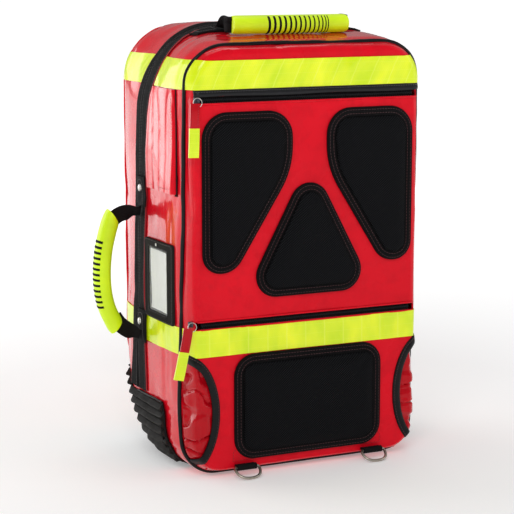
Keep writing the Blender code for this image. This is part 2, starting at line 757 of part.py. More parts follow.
def build_ring_loop(name, x):
    """Webbing sewn into the bottom seam, wrapped round the ring's straight bar."""
    outer, inner = [], []
    for k in range(14):
        angle = math.radians(38 + (360 - 76) * k / 13)
        outer.append((D_RING_Y + 0.0044 * math.cos(angle), D_RING_Z + 0.0044 * math.sin(angle)))
        inner.append((D_RING_Y + 0.0026 * math.cos(angle), D_RING_Z + 0.0026 * math.sin(angle)))
    for angle, dz in ((-0.25, -0.0026), (0.25, 0.0026)):
        outer.append((PAD_BACK - 0.0001, D_RING_Z + dz))
        inner.append((D_RING_Y + 0.0026 * math.cos(angle), D_RING_Z + 0.0026 * math.sin(angle)))
    rings = []
    for shape, ends in ((outer, (-0.0145, 0.0145)), (inner, (0.0145, -0.0145))):
        for end in ends:
            rings.append([(x + end, y, z) for y, z in shape])
    loft(name, rings, "black_webbing", closed=True)


def build_interior():
    for word, z in (("lower", 0.200), ("upper", 0.390)):
        low, high = (-0.1725, -0.0890, z - 0.004), (0.1725, 0.0450, z + 0.004)
        box(f"divider_{word}", low, high, "black_mesh", 0.0015)


def main():
    clear_scene()
    make_materials()
    build_back_shell()
    build_cover()
    build_piping()
    build_wraps()
    build_zips()
    build_window()
    build_side_flap()
    build_side_handle()
    build_top_handle()
    build_d_rings()
    build_interior()
    hinge_pieces("lid_hinge", LID_HINGE, build_lid_shell() + build_lid_wraps())


main()
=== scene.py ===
"""Looks of the trauma backpack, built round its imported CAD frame.

Metres, Z up: the harness side faces -Y, the lid faces +Y, and the carry handle is on the -X side.
"""

import itertools
import math

import bmesh
import bpy
import numpy as np
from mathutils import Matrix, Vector


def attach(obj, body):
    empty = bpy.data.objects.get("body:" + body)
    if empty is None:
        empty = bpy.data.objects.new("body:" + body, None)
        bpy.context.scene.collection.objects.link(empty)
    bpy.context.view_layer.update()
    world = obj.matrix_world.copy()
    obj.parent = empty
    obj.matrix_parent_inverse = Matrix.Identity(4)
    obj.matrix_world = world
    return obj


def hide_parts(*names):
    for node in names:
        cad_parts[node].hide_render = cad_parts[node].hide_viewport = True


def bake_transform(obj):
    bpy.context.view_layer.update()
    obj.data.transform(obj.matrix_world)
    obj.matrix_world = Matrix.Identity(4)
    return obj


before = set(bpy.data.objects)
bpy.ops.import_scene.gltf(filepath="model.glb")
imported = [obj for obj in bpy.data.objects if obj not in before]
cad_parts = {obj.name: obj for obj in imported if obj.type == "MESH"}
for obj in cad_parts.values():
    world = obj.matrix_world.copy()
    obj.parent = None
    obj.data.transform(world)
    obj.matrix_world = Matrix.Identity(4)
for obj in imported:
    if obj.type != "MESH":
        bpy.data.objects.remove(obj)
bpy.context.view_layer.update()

# The bag's outer section at each depth Y: half width, bottom, top, upper and lower corner radius.
SECTIONS = np.array(
    [
        (-0.1155, 0.1630, 0.0120, 0.5780, 0.044, 0.036),
        (-0.1135, 0.1675, 0.0100, 0.5825, 0.048, 0.039),
        (-0.1080, 0.1705, 0.0090, 0.5850, 0.050, 0.040),
        (-0.1000, 0.1735, 0.0065, 0.5875, 0.052, 0.042),
        (-0.0900, 0.1765, 0.0045, 0.5905, 0.055, 0.044),
        (-0.0800, 0.1795, 0.0030, 0.5935, 0.060, 0.046),
        (-0.0500, 0.1825, 0.0030, 0.5980, 0.072, 0.050),
        (0.0000, 0.1840, 0.0030, 0.6040, 0.095, 0.050),
        (0.0180, 0.1843, 0.0030, 0.6064, 0.105, 0.050),
        (0.0300, 0.1845, 0.0049, 0.6080, 0.112, 0.050),
        (0.0556, 0.1845, 0.0178, 0.6100, 0.115, 0.050),
        (0.0750, 0.1840, 0.0342, 0.6110, 0.112, 0.050),
        (0.0950, 0.1820, 0.0578, 0.6105, 0.100, 0.050),
        (0.1120, 0.1790, 0.0869, 0.6080, 0.082, 0.050),
        (0.1200, 0.1760, 0.1045, 0.6040, 0.074, 0.050),
        (0.1250, 0.1690, 0.1200, 0.5960, 0.062, 0.045),
    ]
)
DEPTHS = SECTIONS[:, 0]
FRONT = DEPTHS[0]
SEAM_GAP = 0.0003
WALL = 0.0040
UPPER_BAND = (0.5300, 0.5680)
LOWER_BAND = (0.1710, 0.2085)
UPPER_ZIP_Z, LOWER_ZIP_Z = 0.5170, 0.2145
SLOT_HALF, ZIP_REACH = 0.0055, 0.168
PAD_BACK = -0.1159
ARC, TALL, WIDE = 12, 62, 40
MIDDLE = np.array((0.0, 0.0, 0.3))

# A stitch's length, the gap to the next one, and the thread's radius.
FINE_STITCH = (0.0022, 0.0014, 0.00028)
EDGE_STITCH = (0.0024, 0.0014, 0.0003)


# ---------------------------------------------------------------- numbers


def lattice(cell, seed):
    """A repeatable number from -1 to 1 for each whole-number cell."""
    n = cell[..., 0] * 374761393 + cell[..., 1] * 668265263 + cell[..., 2] * 2147483629
    n = (n + seed * 1274126177) & 0xFFFFFFFF
    n = ((n ^ (n >> 13)) * 1274126177) & 0xFFFFFFFF
    return (n ^ (n >> 16)) / 0x7FFFFFFF - 1.0


def noise(points, seed=0):
    """Smooth noise from -1 to 1, with cells of unit size."""
    base = np.floor(points).astype(np.int64)
    share = points - base
    share = share**3 * (share * (share * 6 - 15) + 10)
    total = 0.0
    for corner in itertools.product((0, 1), repeat=3):
        weight = np.prod(np.where(np.array(corner) == 1, share, 1 - share), axis=-1)
        total = total + weight * lattice(base + np.array(corner), seed)
    return total


def crease(points, seed, sharp):
    """Narrow ridges of height 1 where the noise passes through zero."""
    return np.clip(1 - np.abs(noise(points, seed)) * sharp, 0, 1) ** 1.5


def ramp(value, low, high):
    share = np.clip((value - low) / (high - low), 0, 1)
    return share * share * (3 - 2 * share)


def run_along(line):
    """Distance along the line at each of its points."""
    return np.concatenate([[0], np.cumsum(np.linalg.norm(np.diff(line, axis=0), axis=1))])


def at_level(x, y, z):
    """Points at these x, all at one height and depth."""
    return np.stack([x, np.full_like(x, y), np.full_like(x, z)], 1)


def facing(points, direction):
    """The same direction at each point."""
    return np.broadcast_to(direction, points.shape)


def section(y):
    return [np.interp(y, DEPTHS, SECTIONS[:, k]) for k in range(1, 6)]


def seam_line(z):
    """Depth of the main zip's closed seam at this height. It runs forward over the top corners."""
    return np.interp(
        z, (0.12, 0.17, 0.26, 0.43, 0.50, 0.56, 0.60), (0.0556, 0.052, 0.048, 0.034, 0.026, 0.018, 0.023)
    )


def pipe_line(z):
    """Depth of the piping between the harness cover and the side walls."""
    heights = (0.01, 0.03, 0.06, 0.09, 0.12, 0.21, 0.25, 0.31, 0.40, 0.53, 0.58)
    return np.interp(
        z,
        heights,
        (-0.0940, -0.0905, -0.0850, -0.0825, -0.0820, -0.0875, -0.0885, -0.0915, -0.0945, -0.0965, -0.1010),
    )


def width_at(y, z):
    """Half width of the bag at this depth and height."""
    half, bottom, top, upper, lower = section(y)
    rise = np.clip(z - (top - upper), 0, upper)
    drop = np.clip(bottom + lower - z, 0, lower)
    high = half - upper + np.sqrt(upper**2 - rise**2)
    low = half - lower + np.sqrt(lower**2 - drop**2)
    return np.where(rise > 0, high, np.where(drop > 0, low, half))


def top_at(y, x):
    half, _, top, radius, _ = section(y)
    over = np.clip(np.abs(x) - (half - radius), 0, radius)
    return top - radius + np.sqrt(radius**2 - over**2)


def front_at(x, z):
    """Depth of the harness side's skin at this place, round its softened edge."""
    depths = np.array((-0.1155, -0.1145, -0.1135, -0.1110, -0.1080, -0.1000, -0.0900, -0.0820))
    widths = [float(width_at(y, z)) for y in depths]
    return float(np.interp(abs(x), np.maximum.accumulate(widths), depths))


def surface_move(points):
    """How far the coated fabric stands off the plain section at these points."""
    x, y, z = points[..., 0], points[..., 1], points[..., 2]
    side = ramp(np.abs(x), 0.150, 0.178)
    top = ramp(z, 0.572, 0.598)
    back = ramp(y, 0.118, 0.124)
    low = ramp(-z, -0.210, -0.060) * ramp(-y, 0.020, 0.080)
    move = 0.0009 * noise(points / 0.090, 1) + 0.0004 * noise(points / 0.040, 2)
    move = move - side * 0.0015 * crease(points / (0.5, 0.022, 0.150), 3, 4.5)
    move = move - top * 0.0018 * crease(points / (0.090, 0.012, 0.5), 4, 3.5)
    move = move - low * side * 0.0017 * crease(points / (0.5, 0.060, 0.015), 5, 3.5)
    move = move + back * (0.0012 + 0.0012 * noise(points / 0.120, 6))
    face = ramp(-y, 0.1100, 0.1152)
    flat = -0.0004 - 0.0009 * ramp(noise(points / (0.075, 1.0, 0.060), 7), -0.4, 0.7)
    edge = np.minimum(np.abs(z - UPPER_ZIP_Z), np.abs(z - LOWER_ZIP_Z))
    flat = flat - 0.0008 * ramp(-edge, -0.030, -0.008) * crease(points / (0.040, 1.0, 0.014), 8, 3)
    flat = flat - 0.0010 * top * crease(points / (0.045, 1.0, 0.020), 9, 3)
    return move * (1 - face) + flat * face


# ---------------------------------------------------------------- meshes


def add_mesh(name, points, faces, material, flow=None):
    mesh = bpy.data.meshes.new(name)
    mesh.from_pydata(np.asarray(points, float).tolist(), [], [list(f) for f in faces])
    if flow is not None:
        attribute = mesh.attributes.new("flow", "FLOAT_VECTOR", "POINT")
        attribute.data.foreach_set("vector", np.asarray(flow, np.float32).ravel())
    obj = bpy.data.objects.new(name, mesh)
    bpy.context.scene.collection.objects.link(obj)
    mesh.materials.append(LOOKS[material])
    return obj


def vertices_of(obj):
    return np.array([v.co for v in obj.data.vertices])


def set_vertices(obj, points):
    obj.data.vertices.foreach_set("co", points.ravel())


def keep_above(obj, low):
    points = vertices_of(obj)
    points[:, 2] = np.maximum(points[:, 2], low)
    set_vertices(obj, points)


def face_out(obj):
    """Turns a closed skin round if its signed volume is negative."""
    mesh = obj.data
    mesh.calc_loop_triangles()
    co = np.empty(len(mesh.vertices) * 3)
    mesh.vertices.foreach_get("co", co)
    index = np.empty(len(mesh.loop_triangles) * 3, np.int32)
    mesh.loop_triangles.foreach_get("vertices", index)
    corners = co.reshape(-1, 3)[index.reshape(-1, 3)]
    if (corners[:, 0] * np.cross(corners[:, 1], corners[:, 2])).sum() < 0:
        mesh.flip_normals()


def finish_piece(obj, body, nodes=(), sharp=40.0):
    """Shades the piece, sets it on its body and hides the CAD nodes it stands for."""
    face_out(obj)
    obj.data.shade_smooth()
    obj.data.set_sharp_from_angle(angle=math.radians(sharp))
    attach(obj, body)
    if nodes:
        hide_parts(*nodes)
    return obj


def settle(obj):
    """Replaces the mesh by what its modifiers make of it."""
    graph = bpy.context.evaluated_depsgraph_get()
    mesh = bpy.data.meshes.new_from_object(obj.evaluated_get(graph))
    obj.modifiers.clear()
    obj.data = mesh
    return obj


def normals_of(grid, wrap=False):
    if wrap:
        along = np.roll(grid, -1, axis=1) - np.roll(grid, 1, axis=1)
    else:
        along = np.gradient(grid, axis=1)
    normal = np.cross(np.gradient(grid, axis=0), along)
    normal /= np.maximum(np.linalg.norm(normal, axis=2, keepdims=True), 1e-12)
    return -normal if (normal * (grid - MIDDLE)).sum() < 0 else normal


def flow_of(grid):
    """Distance along the columns and along the rows, in metres, at each point of a grid."""
    def measured(axis):
        steps = np.linalg.norm(np.diff(grid, axis=axis), axis=2)
        pad = [(0, 0), (0, 0)]
        pad[axis] = (1, 0)
        return np.cumsum(np.pad(steps, pad), axis=axis)

    return np.stack([measured(1), measured(0), np.zeros(grid.shape[:2])], 2).reshape(-1, 3)


def strips(rows, columns, wrap, start=0):
    """Quads over a grid of points numbered row by row."""
    span = columns if wrap else columns - 1
    i, j = np.meshgrid(np.arange(rows - 1), np.arange(span), indexing="ij")
    a, b = i * columns + j, i * columns + (j + 1) % columns
    return (np.stack([a, b, b + columns, a + columns], 2).reshape(-1, 4) + start).tolist()


def sheet_solid(name, grid, inner, outer, material, wrap=False, normal=None):
    """A closed thin solid over a grid of surface points, from `inner` to `outer` above them."""
    normal = normals_of(grid, wrap) if normal is None else normal
    rows, columns = grid.shape[:2]
    lift = [np.broadcast_to(v, (rows, columns))[..., None] for v in (outer, inner)]
    points = np.concatenate([(grid + normal * v).reshape(-1, 3) for v in lift])
    under = rows * columns
    faces = strips(rows, columns, wrap)
    faces += [f[::-1] for f in strips(rows, columns, wrap, under)]
    last = (rows - 1) * columns
    span = columns if wrap else columns - 1
    for j in range(span):
        n = (j + 1) % columns
        faces.append((n, j, under + j, under + n))
        faces.append((last + j, last + n, under + last + n, under + last + j))
    if not wrap:
        for i in range(rows - 1):
            a, b = i * columns, (i + 1) * columns
            faces.append((a, b, under + b, under + a))
            c, d = a + columns - 1, b + columns - 1
            faces.append((d, c, under + c, under + d))
    flow = flow_of(grid)
    return add_mesh(name, points, faces, material, np.concatenate([flow, flow]))


def hull_sheet(name, grid, inner, outer, material):
    """A sheet on the bag's skin, which follows the skin's own wrinkles."""
    normal = normals_of(grid)
    grid = grid + normal * surface_move(grid)[..., None]
    return sheet_solid(name, grid, inner, outer, material, normal=normal)


def lofted(name, rings, material, closed=False):
    rings = np.asarray(rings, float)
    rows, count = rings.shape[:2]
    faces = strips(rows, count, True)
    flow = flow_of(rings)
    if closed:
        last = (rows - 1) * count
        for k in range(count):
            n = (k + 1) % count
            faces.append((last + k, last + n, n, k))
    else:
        faces.append(list(range(count))[::-1])
        faces.append(list(range((rows - 1) * count, rows * count)))
    return add_mesh(name, rings.reshape(-1, 3), faces, material, flow)


def resample(path, step, closed=False):
    """The same line with points spaced evenly, about `step` apart."""
    path = np.asarray(path, float)
    if closed:
        path = np.concatenate([path, path[:1]])
    lengths = run_along(path)
    count = max(int(round(lengths[-1] / step)), 3)
    at = np.linspace(0, lengths[-1], count + 1)
    if closed:
        at = at[:-1]
    return np.stack([np.interp(at, lengths, path[:, k]) for k in range(path.shape[1])], 1)


def curved(path, step):
    """A smooth line through the given points (Catmull-Rom), spaced evenly."""
    path = np.asarray(path, float)
    ends = [2 * path[0] - path[1], *path, 2 * path[-1] - path[-2]]
    out = []
    for a, b, c, d in zip(ends, ends[1:], ends[2:], ends[3:]):
        for t in np.arange(0, 1, 0.1):
            bend = 2 * b + (c - a) * t + (2 * a - 5 * b + 4 * c - d) * t**2
            out.append(0.5 * (bend + (3 * b - a - 3 * c + d) * t**3))
    out.append(path[-1])
    return resample(out, step)


def tangents(path, closed=False):
    if closed:
        ahead = np.roll(path, -1, axis=0) - np.roll(path, 1, axis=0)
    else:
        ahead = np.gradient(path, axis=0)
    return ahead / np.linalg.norm(ahead, axis=1, keepdims=True)


def swept(name, path, side, profile, material, scales=None, turns=None, shear=None):
    """A closed profile of (across, along side) points carried down a path that lies square to `side`.

    Each point of the path has its own scale, turn about the path, and slant of its ring along the path.
    """
    path = np.asarray(path, float)
    side = np.asarray(side, float) / np.linalg.norm(side)
    ahead = tangents(path)
    across = np.cross(side, ahead)
    profile = np.asarray(profile, float)
    scales = np.ones(len(path)) if scales is None else scales
    turns = np.zeros(len(path)) if turns is None else turns
    shear = np.zeros(len(path)) if shear is None else shear
    c, s = np.cos(turns)[:, None], np.sin(turns)[:, None]
    u = (profile[:, 0] * c - profile[:, 1] * s) * scales[:, None]
    v = (profile[:, 0] * s + profile[:, 1] * c) * scales[:, None]
    rings = path[:, None] + across[:, None] * u[..., None] + side * v[..., None]
    rings = rings + ahead[:, None] * (u * shear[:, None])[..., None]
    return lofted(name, rings, material)


def circle(radius, count=12, flat=1.0, power=1.0):
    angle = np.arange(count) * 2 * math.pi / count
    u, v = np.cos(angle), np.sin(angle)
    u, v = np.sign(u) * np.abs(u) ** power, np.sign(v) * np.abs(v) ** power
    return np.stack([radius * u, radius * flat * v], 1)


def lens(wide, thick, count=16):
    """A strap's section: flat faces and rounded edges, with its thickness first."""
    return circle(thick / 2, count, wide / thick, 0.45)


def rods(name, starts, ends, radius, material, sides=5, waist=0.55):
    """Many small rods with rounded ends in one mesh, such as stitches or zip teeth."""
    starts, ends = np.asarray(starts, float), np.asarray(ends, float)
    axis = ends - starts
    length = np.linalg.norm(axis, axis=1, keepdims=True)
    axis = axis / length
    helper = np.where(np.abs(axis[:, 2:3]) > 0.8, (1.0, 0.0, 0.0), (0.0, 0.0, 1.0))
    u = np.cross(axis, helper)
    u /= np.linalg.norm(u, axis=1, keepdims=True)
    v = np.cross(axis, u)
    angle = np.arange(sides) * 2 * math.pi / sides
    points = []
    for share, scale in ((0.0, waist), (0.18, 1.0), (0.82, 1.0), (1.0, waist)):
        middle = starts + axis * length * share
        spoke = u[:, None] * np.cos(angle)[:, None] + v[:, None] * np.sin(angle)[:, None]
        points.append(middle[:, None] + spoke * radius * scale)
    points = np.stack(points, 1).reshape(-1, 3)
    per = 4 * sides
    one = strips(4, sides, True) + [list(range(sides))[::-1], list(range(3 * sides, per))]
    faces = [[i + k * per for i in face] for k in range(len(starts)) for face in one]
    return add_mesh(name, points, faces, material, points)


def stitches(name, path, body, material, length=0.0030, gap=0.0012, radius=0.00036, closed=False):
    """A row of thread stitches along a line of points that lie on the fabric."""
    path = resample(path, length + gap, closed)
    ahead = tangents(path, closed) * (length / 2)
    obj = rods(name, path - ahead, path + ahead, radius, material)
    return finish_piece(obj, body, sharp=60)


def bevelled(obj, width, segments=2):
    bevel = obj.modifiers.new("soft_edges", "BEVEL")
    bevel.width = width
    bevel.segments = segments
    bevel.limit_method = "ANGLE"
    bevel.angle_limit = math.radians(40)
    return obj


def block(name, low, high, material, edge, segments=2):
    """A block with softened edges, subdivided where its fabric or metal needs it."""
    x, y, z = zip(low, high)
    points = [(a, b, c) for a in x for b in y for c in z]
    faces = [(0, 1, 3, 2), (4, 6, 7, 5), (0, 4, 5, 1), (2, 3, 7, 6), (0, 2, 6, 4), (1, 5, 7, 3)]
    return settle(bevelled(add_mesh(name, points, faces, material), edge, segments))


def rounded(corners, radii, steps=10):
    """An XZ outline with each corner rounded to its radius."""
    outline = []
    for k, corner in enumerate(corners):
        here = Vector(corner)
        back = (Vector(corners[k - 1]) - here).normalized()
        ahead = (Vector(corners[(k + 1) % len(corners)]) - here).normalized()
        half = back.angle(ahead) / 2
        middle = here + (back + ahead).normalized() * (radii[k] / math.sin(half))
        start = here + back * (radii[k] / math.tan(half)) - middle
        end = here + ahead * (radii[k] / math.tan(half)) - middle
        turn = math.atan2(start.x * end.y - start.y * end.x, start.dot(end))
        for i in range(steps + 1):
            c, s = math.cos(turn * i / steps), math.sin(turn * i / steps)
            outline.append((middle.x + start.x * c - start.y * s, middle.y + start.x * s + start.y * c))
    return outline


def inset_outline(outline, distance):
    """A closed XZ outline moved inwards by a distance."""
    ahead = tangents(outline, True)
    inward = np.stack([-ahead[:, 1], ahead[:, 0]], 1)
    x, z = outline.T
    if (x * np.roll(z, -1) - np.roll(x, -1) * z).sum() < 0:
        inward = -inward
    return outline + inward * distance


def in_depth(outline, y):
    outline = np.asarray(outline, float)
    return np.stack([outline[:, 0], np.full(len(outline), y), outline[:, 1]], 1)


# ---------------------------------------------------------------- materials


class Look:
    """A procedural material: a Principled shader and the nodes that drive it."""

    def __init__(self, name, colour, **values):
        self.material = bpy.data.materials.new(name)
        self.material.use_nodes = True
        self.tree = self.material.node_tree
        self.shader = self.tree.nodes["Principled BSDF"]
        self.shader.inputs["Base Color"].default_value = (*colour, 1)
        self.material.diffuse_color = (*colour, 1)
        for key, value in values.items():
            self.shader.inputs[key.replace("_", " ")].default_value = value
        self.place = self.node("TexCoord").outputs["Object"]
        self.flow = self.node("Attribute", attribute_name="flow").outputs["Vector"]
        self.normal = None

    def node(self, kind, inputs=None, **settings):
        node = self.tree.nodes.new("ShaderNode" + kind)
        for key, value in settings.items():
            setattr(node, key, value)
        for key, value in (inputs or {}).items():
            if isinstance(value, bpy.types.NodeSocket):
                self.tree.links.new(value, node.inputs[key])
            else:
                node.inputs[key].default_value = value
        return node

    def drive(self, socket, value):
        self.tree.links.new(value, self.shader.inputs[socket])

    def mapped(self, vector, scale=(1, 1, 1), turn=(0, 0, 0)):
        inputs = {"Vector": vector, "Scale": scale, "Rotation": turn}
        return self.node("Mapping", inputs).outputs[0]

    def speckle(self, scale, detail=2.0, vector=None):
        inputs = {"Vector": vector or self.place, "Scale": scale, "Detail": detail, "Roughness": 0.5}
        return self.node("TexNoise", inputs).outputs[0]

    def bands(self, pitch, direction, vector=None, twist=0.0):
        inputs = {"Vector": vector or self.place, "Scale": 0.31416 / pitch, "Distortion": twist}
        return self.node("TexWave", inputs, bands_direction=direction).outputs["Fac"]

    def ramp(self, value, low, high, first=0.0, last=1.0):
        inputs = {0: value, 1: low, 2: high, 3: first, 4: last}
        return self.node("MapRange", inputs).outputs[0]

    def maths(self, operation, a, b):
        return self.node("Math", {0: a, 1: b}, operation=operation).outputs[0]

    def mix(self, first, last, factor):
        node = self.node("Mix", {0: factor}, data_type="RGBA")
        for socket, value in ((node.inputs[6], first), (node.inputs[7], last)):
            if isinstance(value, bpy.types.NodeSocket):
                self.tree.links.new(value, socket)
            else:
                socket.default_value = (*value, 1)
        return node.outputs[2]

    def bump(self, height, distance, strength=1.0):
        inputs = {"Height": height, "Distance": distance, "Strength": strength}
        if self.normal is not None:
            inputs["Normal"] = self.normal
        self.normal = self.node("Bump", inputs).outputs[0]
        self.drive("Normal", self.normal)


def shade(colour, by):
    return tuple(min(c * by, 1.0) for c in colour)


def tarpaulin(name, colour, gloss=0.26, face_on=0.05, dents=1.0):
    """Coated fabric: a smooth film over a plain weave, with soft dents, glossier where seen edge on."""
    look = Look(name, colour, Coat_Roughness=0.08, Specular_IOR_Level=0.08)
    cloudy = look.ramp(look.speckle(7.0, 3.0), 0.3, 0.7)
    worn = look.ramp(look.speckle(55.0, 4.0), 0.45, 0.8)
    base = look.mix(shade(colour, 0.90), shade(colour, 1.06), cloudy)
    look.drive("Base Color", look.mix(base, shade(colour, 0.84), worn))
    look.drive("Roughness", look.ramp(look.speckle(30.0, 3.0), 0.3, 0.7, gloss - 0.06, gloss + 0.10))
    facing = look.node("LayerWeight", {"Blend": 0.5}).outputs["Facing"]
    look.drive("Coat Weight", look.ramp(facing, 0.18, 0.58, face_on, 1.0))
    threads = look.maths("ADD", look.bands(0.0009, "X"), look.bands(0.0009, "Z"))
    threads = look.maths("ADD", threads, look.bands(0.0009, "Y"))
    look.bump(threads, 0.00003, 0.5)
    look.bump(look.speckle(26.0, 3.0), 0.0011, 0.55 * dents)
    look.bump(look.speckle(9.0, 1.0), 0.0040, 0.35)
    return look.material


def reflective_tape():
    """Fluorescent prismatic tape: a clear gloss film over fine cells, with a welded seam every 29 mm and a
    painted glow of its own colour.
    """
    colour = (0.70, 0.92, 0.004)
    look = Look(
        "neon_reflective_tape",
        colour,
        Roughness=0.30,
        Coat_Weight=0.55,
        Coat_Roughness=0.06,
        Specular_IOR_Level=0.25,
        # Painted glow: the emission makes the tape shine a little light of its own, though it is no lamp.
        Emission_Color=(0.85, 1.0, 0.0, 1),
        Emission_Strength=0.10,
    )
    turned = look.mapped(look.flow, turn=(0, 0, math.radians(45)))
    cells = look.maths("MULTIPLY", look.bands(0.0022, "X", turned), look.bands(0.0022, "Y", turned))
    seams = look.ramp(look.bands(0.029, "X", look.flow), 0.985, 1.0)
    lines = look.ramp(look.bands(0.0126, "Y", look.flow), 0.97, 1.0)
    patches = look.ramp(look.speckle(30.0, 2.0, look.mapped(look.flow, (1, 0.5, 1))), 0.35, 0.7)
    base = look.mix((0.60, 0.80, 0.0), (0.90, 0.96, 0.01), patches)
    base = look.mix(base, (0.58, 0.78, 0.0), look.ramp(cells, 0.2, 0.9, 0.0, 0.35))
    base = look.mix(
        base,
        (0.88, 1.0, 0.16),
        look.maths("MULTIPLY", look.maths("MAXIMUM", seams, look.maths("MULTIPLY", lines, 0.4)), 0.35),
    )
    look.drive("Base Color", base)
    look.bump(cells, 0.00010, 0.5)
    look.bump(look.maths("MAXIMUM", seams, lines), 0.0002, 0.3)
    look.bump(look.speckle(24.0, 2.0, look.mapped(look.flow, (1.3, 0.5, 1))), 0.0060, 0.75)
    return look.material


def spacer_mesh():
    """Three-dimensional padding mesh with diamond holes about 2 mm apart, the holes painted near black as
    painted shade in their depth.
    """
    look = Look("black_spacer_mesh", (0.011, 0.011, 0.013), Specular_IOR_Level=0.08)
    turned = look.mapped(look.place, turn=(0, math.radians(38), 0))
    holes = look.maths(
        "MULTIPLY", look.bands(0.0021, "X", turned, 0.6), look.bands(0.0026, "Z", turned, 0.6)
    )
    yarn = look.ramp(holes, 0.10, 0.55)
    thick = look.ramp(look.speckle(22.0, 3.0), 0.3, 0.75)
    # The holes get the darkest colour: painted shade in the recesses between the yarns.
    base = look.mix((0.0012, 0.0012, 0.0015), (0.017, 0.018, 0.021), yarn)
    look.drive("Base Color", look.mix(base, (0.006, 0.006, 0.007), look.maths("MULTIPLY", thick, 0.5)))
    look.drive("Roughness", look.ramp(yarn, 0, 1, 0.9, 0.62))
    look.bump(yarn, 0.0006, 0.9)
    return look.material


def binding(name, colour, rough=0.32):
    """Smooth black piping film over a cord, with fine ribs and scuffs."""
    look = Look(name, colour, Coat_Weight=0.12, Coat_Roughness=0.18, Specular_IOR_Level=0.12)
    scuff = look.ramp(look.speckle(160.0, 4.0), 0.55, 0.85)
    look.drive("Base Color", look.mix(colour, shade(colour, 2.6), look.maths("MULTIPLY", scuff, 0.5)))
    look.drive("Roughness", look.ramp(look.speckle(50.0, 3.0), 0.3, 0.7, rough, rough + 0.18))
    look.bump(look.bands(0.0008, "X", look.flow), 0.00004, 0.5)
    look.bump(look.speckle(70.0, 3.0), 0.0005, 0.5)
    return look.material


def webbing(name, colour, pitch=0.0016, bright=2.0):
    """Woven strap: herringbone ribs along its length."""
    look = Look(name, colour, Specular_IOR_Level=0.10)
    turned = look.mapped(look.flow, turn=(0, 0, math.radians(35)))
    other = look.mapped(look.flow, turn=(0, 0, math.radians(-35)))
    stripe = look.ramp(look.bands(0.0060, "Y", look.flow), 0.45, 0.55)
    twill = look.node(
        "Mix", {0: stripe, 2: look.bands(pitch, "X", turned), 3: look.bands(pitch, "X", other)}
    )
    yarn = twill.outputs[0]
    fuzz = look.ramp(look.speckle(300.0, 3.0), 0.4, 0.8)
    base = look.mix(shade(colour, 0.45), shade(colour, bright), yarn)
    look.drive("Base Color", look.mix(base, shade(colour, 1.6), look.maths("MULTIPLY", fuzz, 0.4)))
    look.drive("Roughness", look.ramp(fuzz, 0, 1, 0.68, 0.9))
    look.bump(yarn, 0.00035, 0.8)
    return look.material


def rubber(name, colour, rough, grain, edge=1.8, **values):
    """Moulded rubber or plastic with a fine grain and paler worn edges."""
    look = Look(name, colour, **values)
    worn = look.ramp(look.node("NewGeometry").outputs["Pointiness"], 0.505, 0.56)
    cloudy = look.ramp(look.speckle(18.0, 4.0), 0.3, 0.75)
    base = look.mix(shade(colour, 0.80), shade(colour, 1.12), cloudy)
    look.drive("Base Color", look.mix(base, shade(colour, edge), look.maths("MULTIPLY", worn, 0.6)))
    look.drive("Roughness", look.ramp(look.speckle(60.0, 3.0), 0.3, 0.7, rough - 0.07, rough + 0.10))
    look.bump(look.speckle(grain, 3.0), 0.00012, 0.6)
    return look.material


def metal(name, colour, rough):
    look = Look(name, colour, Metallic=1.0)
    streaks = look.speckle(90.0, 4.0, look.mapped(look.place, (1.0, 1.0, 9.0)))
    tarnish = look.ramp(look.speckle(120.0, 3.0), 0.45, 0.75)
    look.drive("Base Color", look.mix(colour, shade(colour, 0.55), look.maths("MULTIPLY", tarnish, 0.7)))
    look.drive("Roughness", look.ramp(streaks, 0.3, 0.7, rough, rough + 0.2))
    look.bump(streaks, 0.00006, 0.5)
    return look.material


def thread(name, colour):
    look = Look(name, colour, Specular_IOR_Level=0.3, Sheen_Weight=0.2)
    twist = look.bands(0.0007, "DIAGONAL")
    look.drive("Base Color", look.mix(shade(colour, 0.55), shade(colour, 1.3), twist))
    look.drive("Roughness", look.ramp(twist, 0, 1, 0.75, 0.5))
    look.bump(twist, 0.00008, 0.6)
    return look.material


def card_paper():
    look = Look("card_paper", (0.84, 0.85, 0.81), Specular_IOR_Level=0.3)
    fibres = look.speckle(260.0, 5.0, look.mapped(look.place, (1.0, 1.0, 0.4)))
    rules = look.ramp(look.bands(0.0095, "Y"), 0.975, 1.0)
    base = look.mix((0.80, 0.81, 0.77), (0.90, 0.91, 0.88), look.ramp(fibres, 0.3, 0.7))
    look.drive("Base Color", look.mix(base, (0.62, 0.52, 0.42), look.maths("MULTIPLY", rules, 0.45)))
    look.drive("Roughness", look.ramp(fibres, 0.3, 0.7, 0.5, 0.7))
    look.bump(fibres, 0.00004, 0.5)
    return look.material


def clear_film():
    look = Look("clear_film", (0.95, 0.96, 0.96), Roughness=0.06, Alpha=0.14, Specular_IOR_Level=0.8)
    look.bump(look.speckle(45.0, 2.0), 0.0008, 0.5)
    look.drive("Roughness", look.ramp(look.speckle(80.0, 3.0), 0.4, 0.8, 0.05, 0.16))
    return look.material


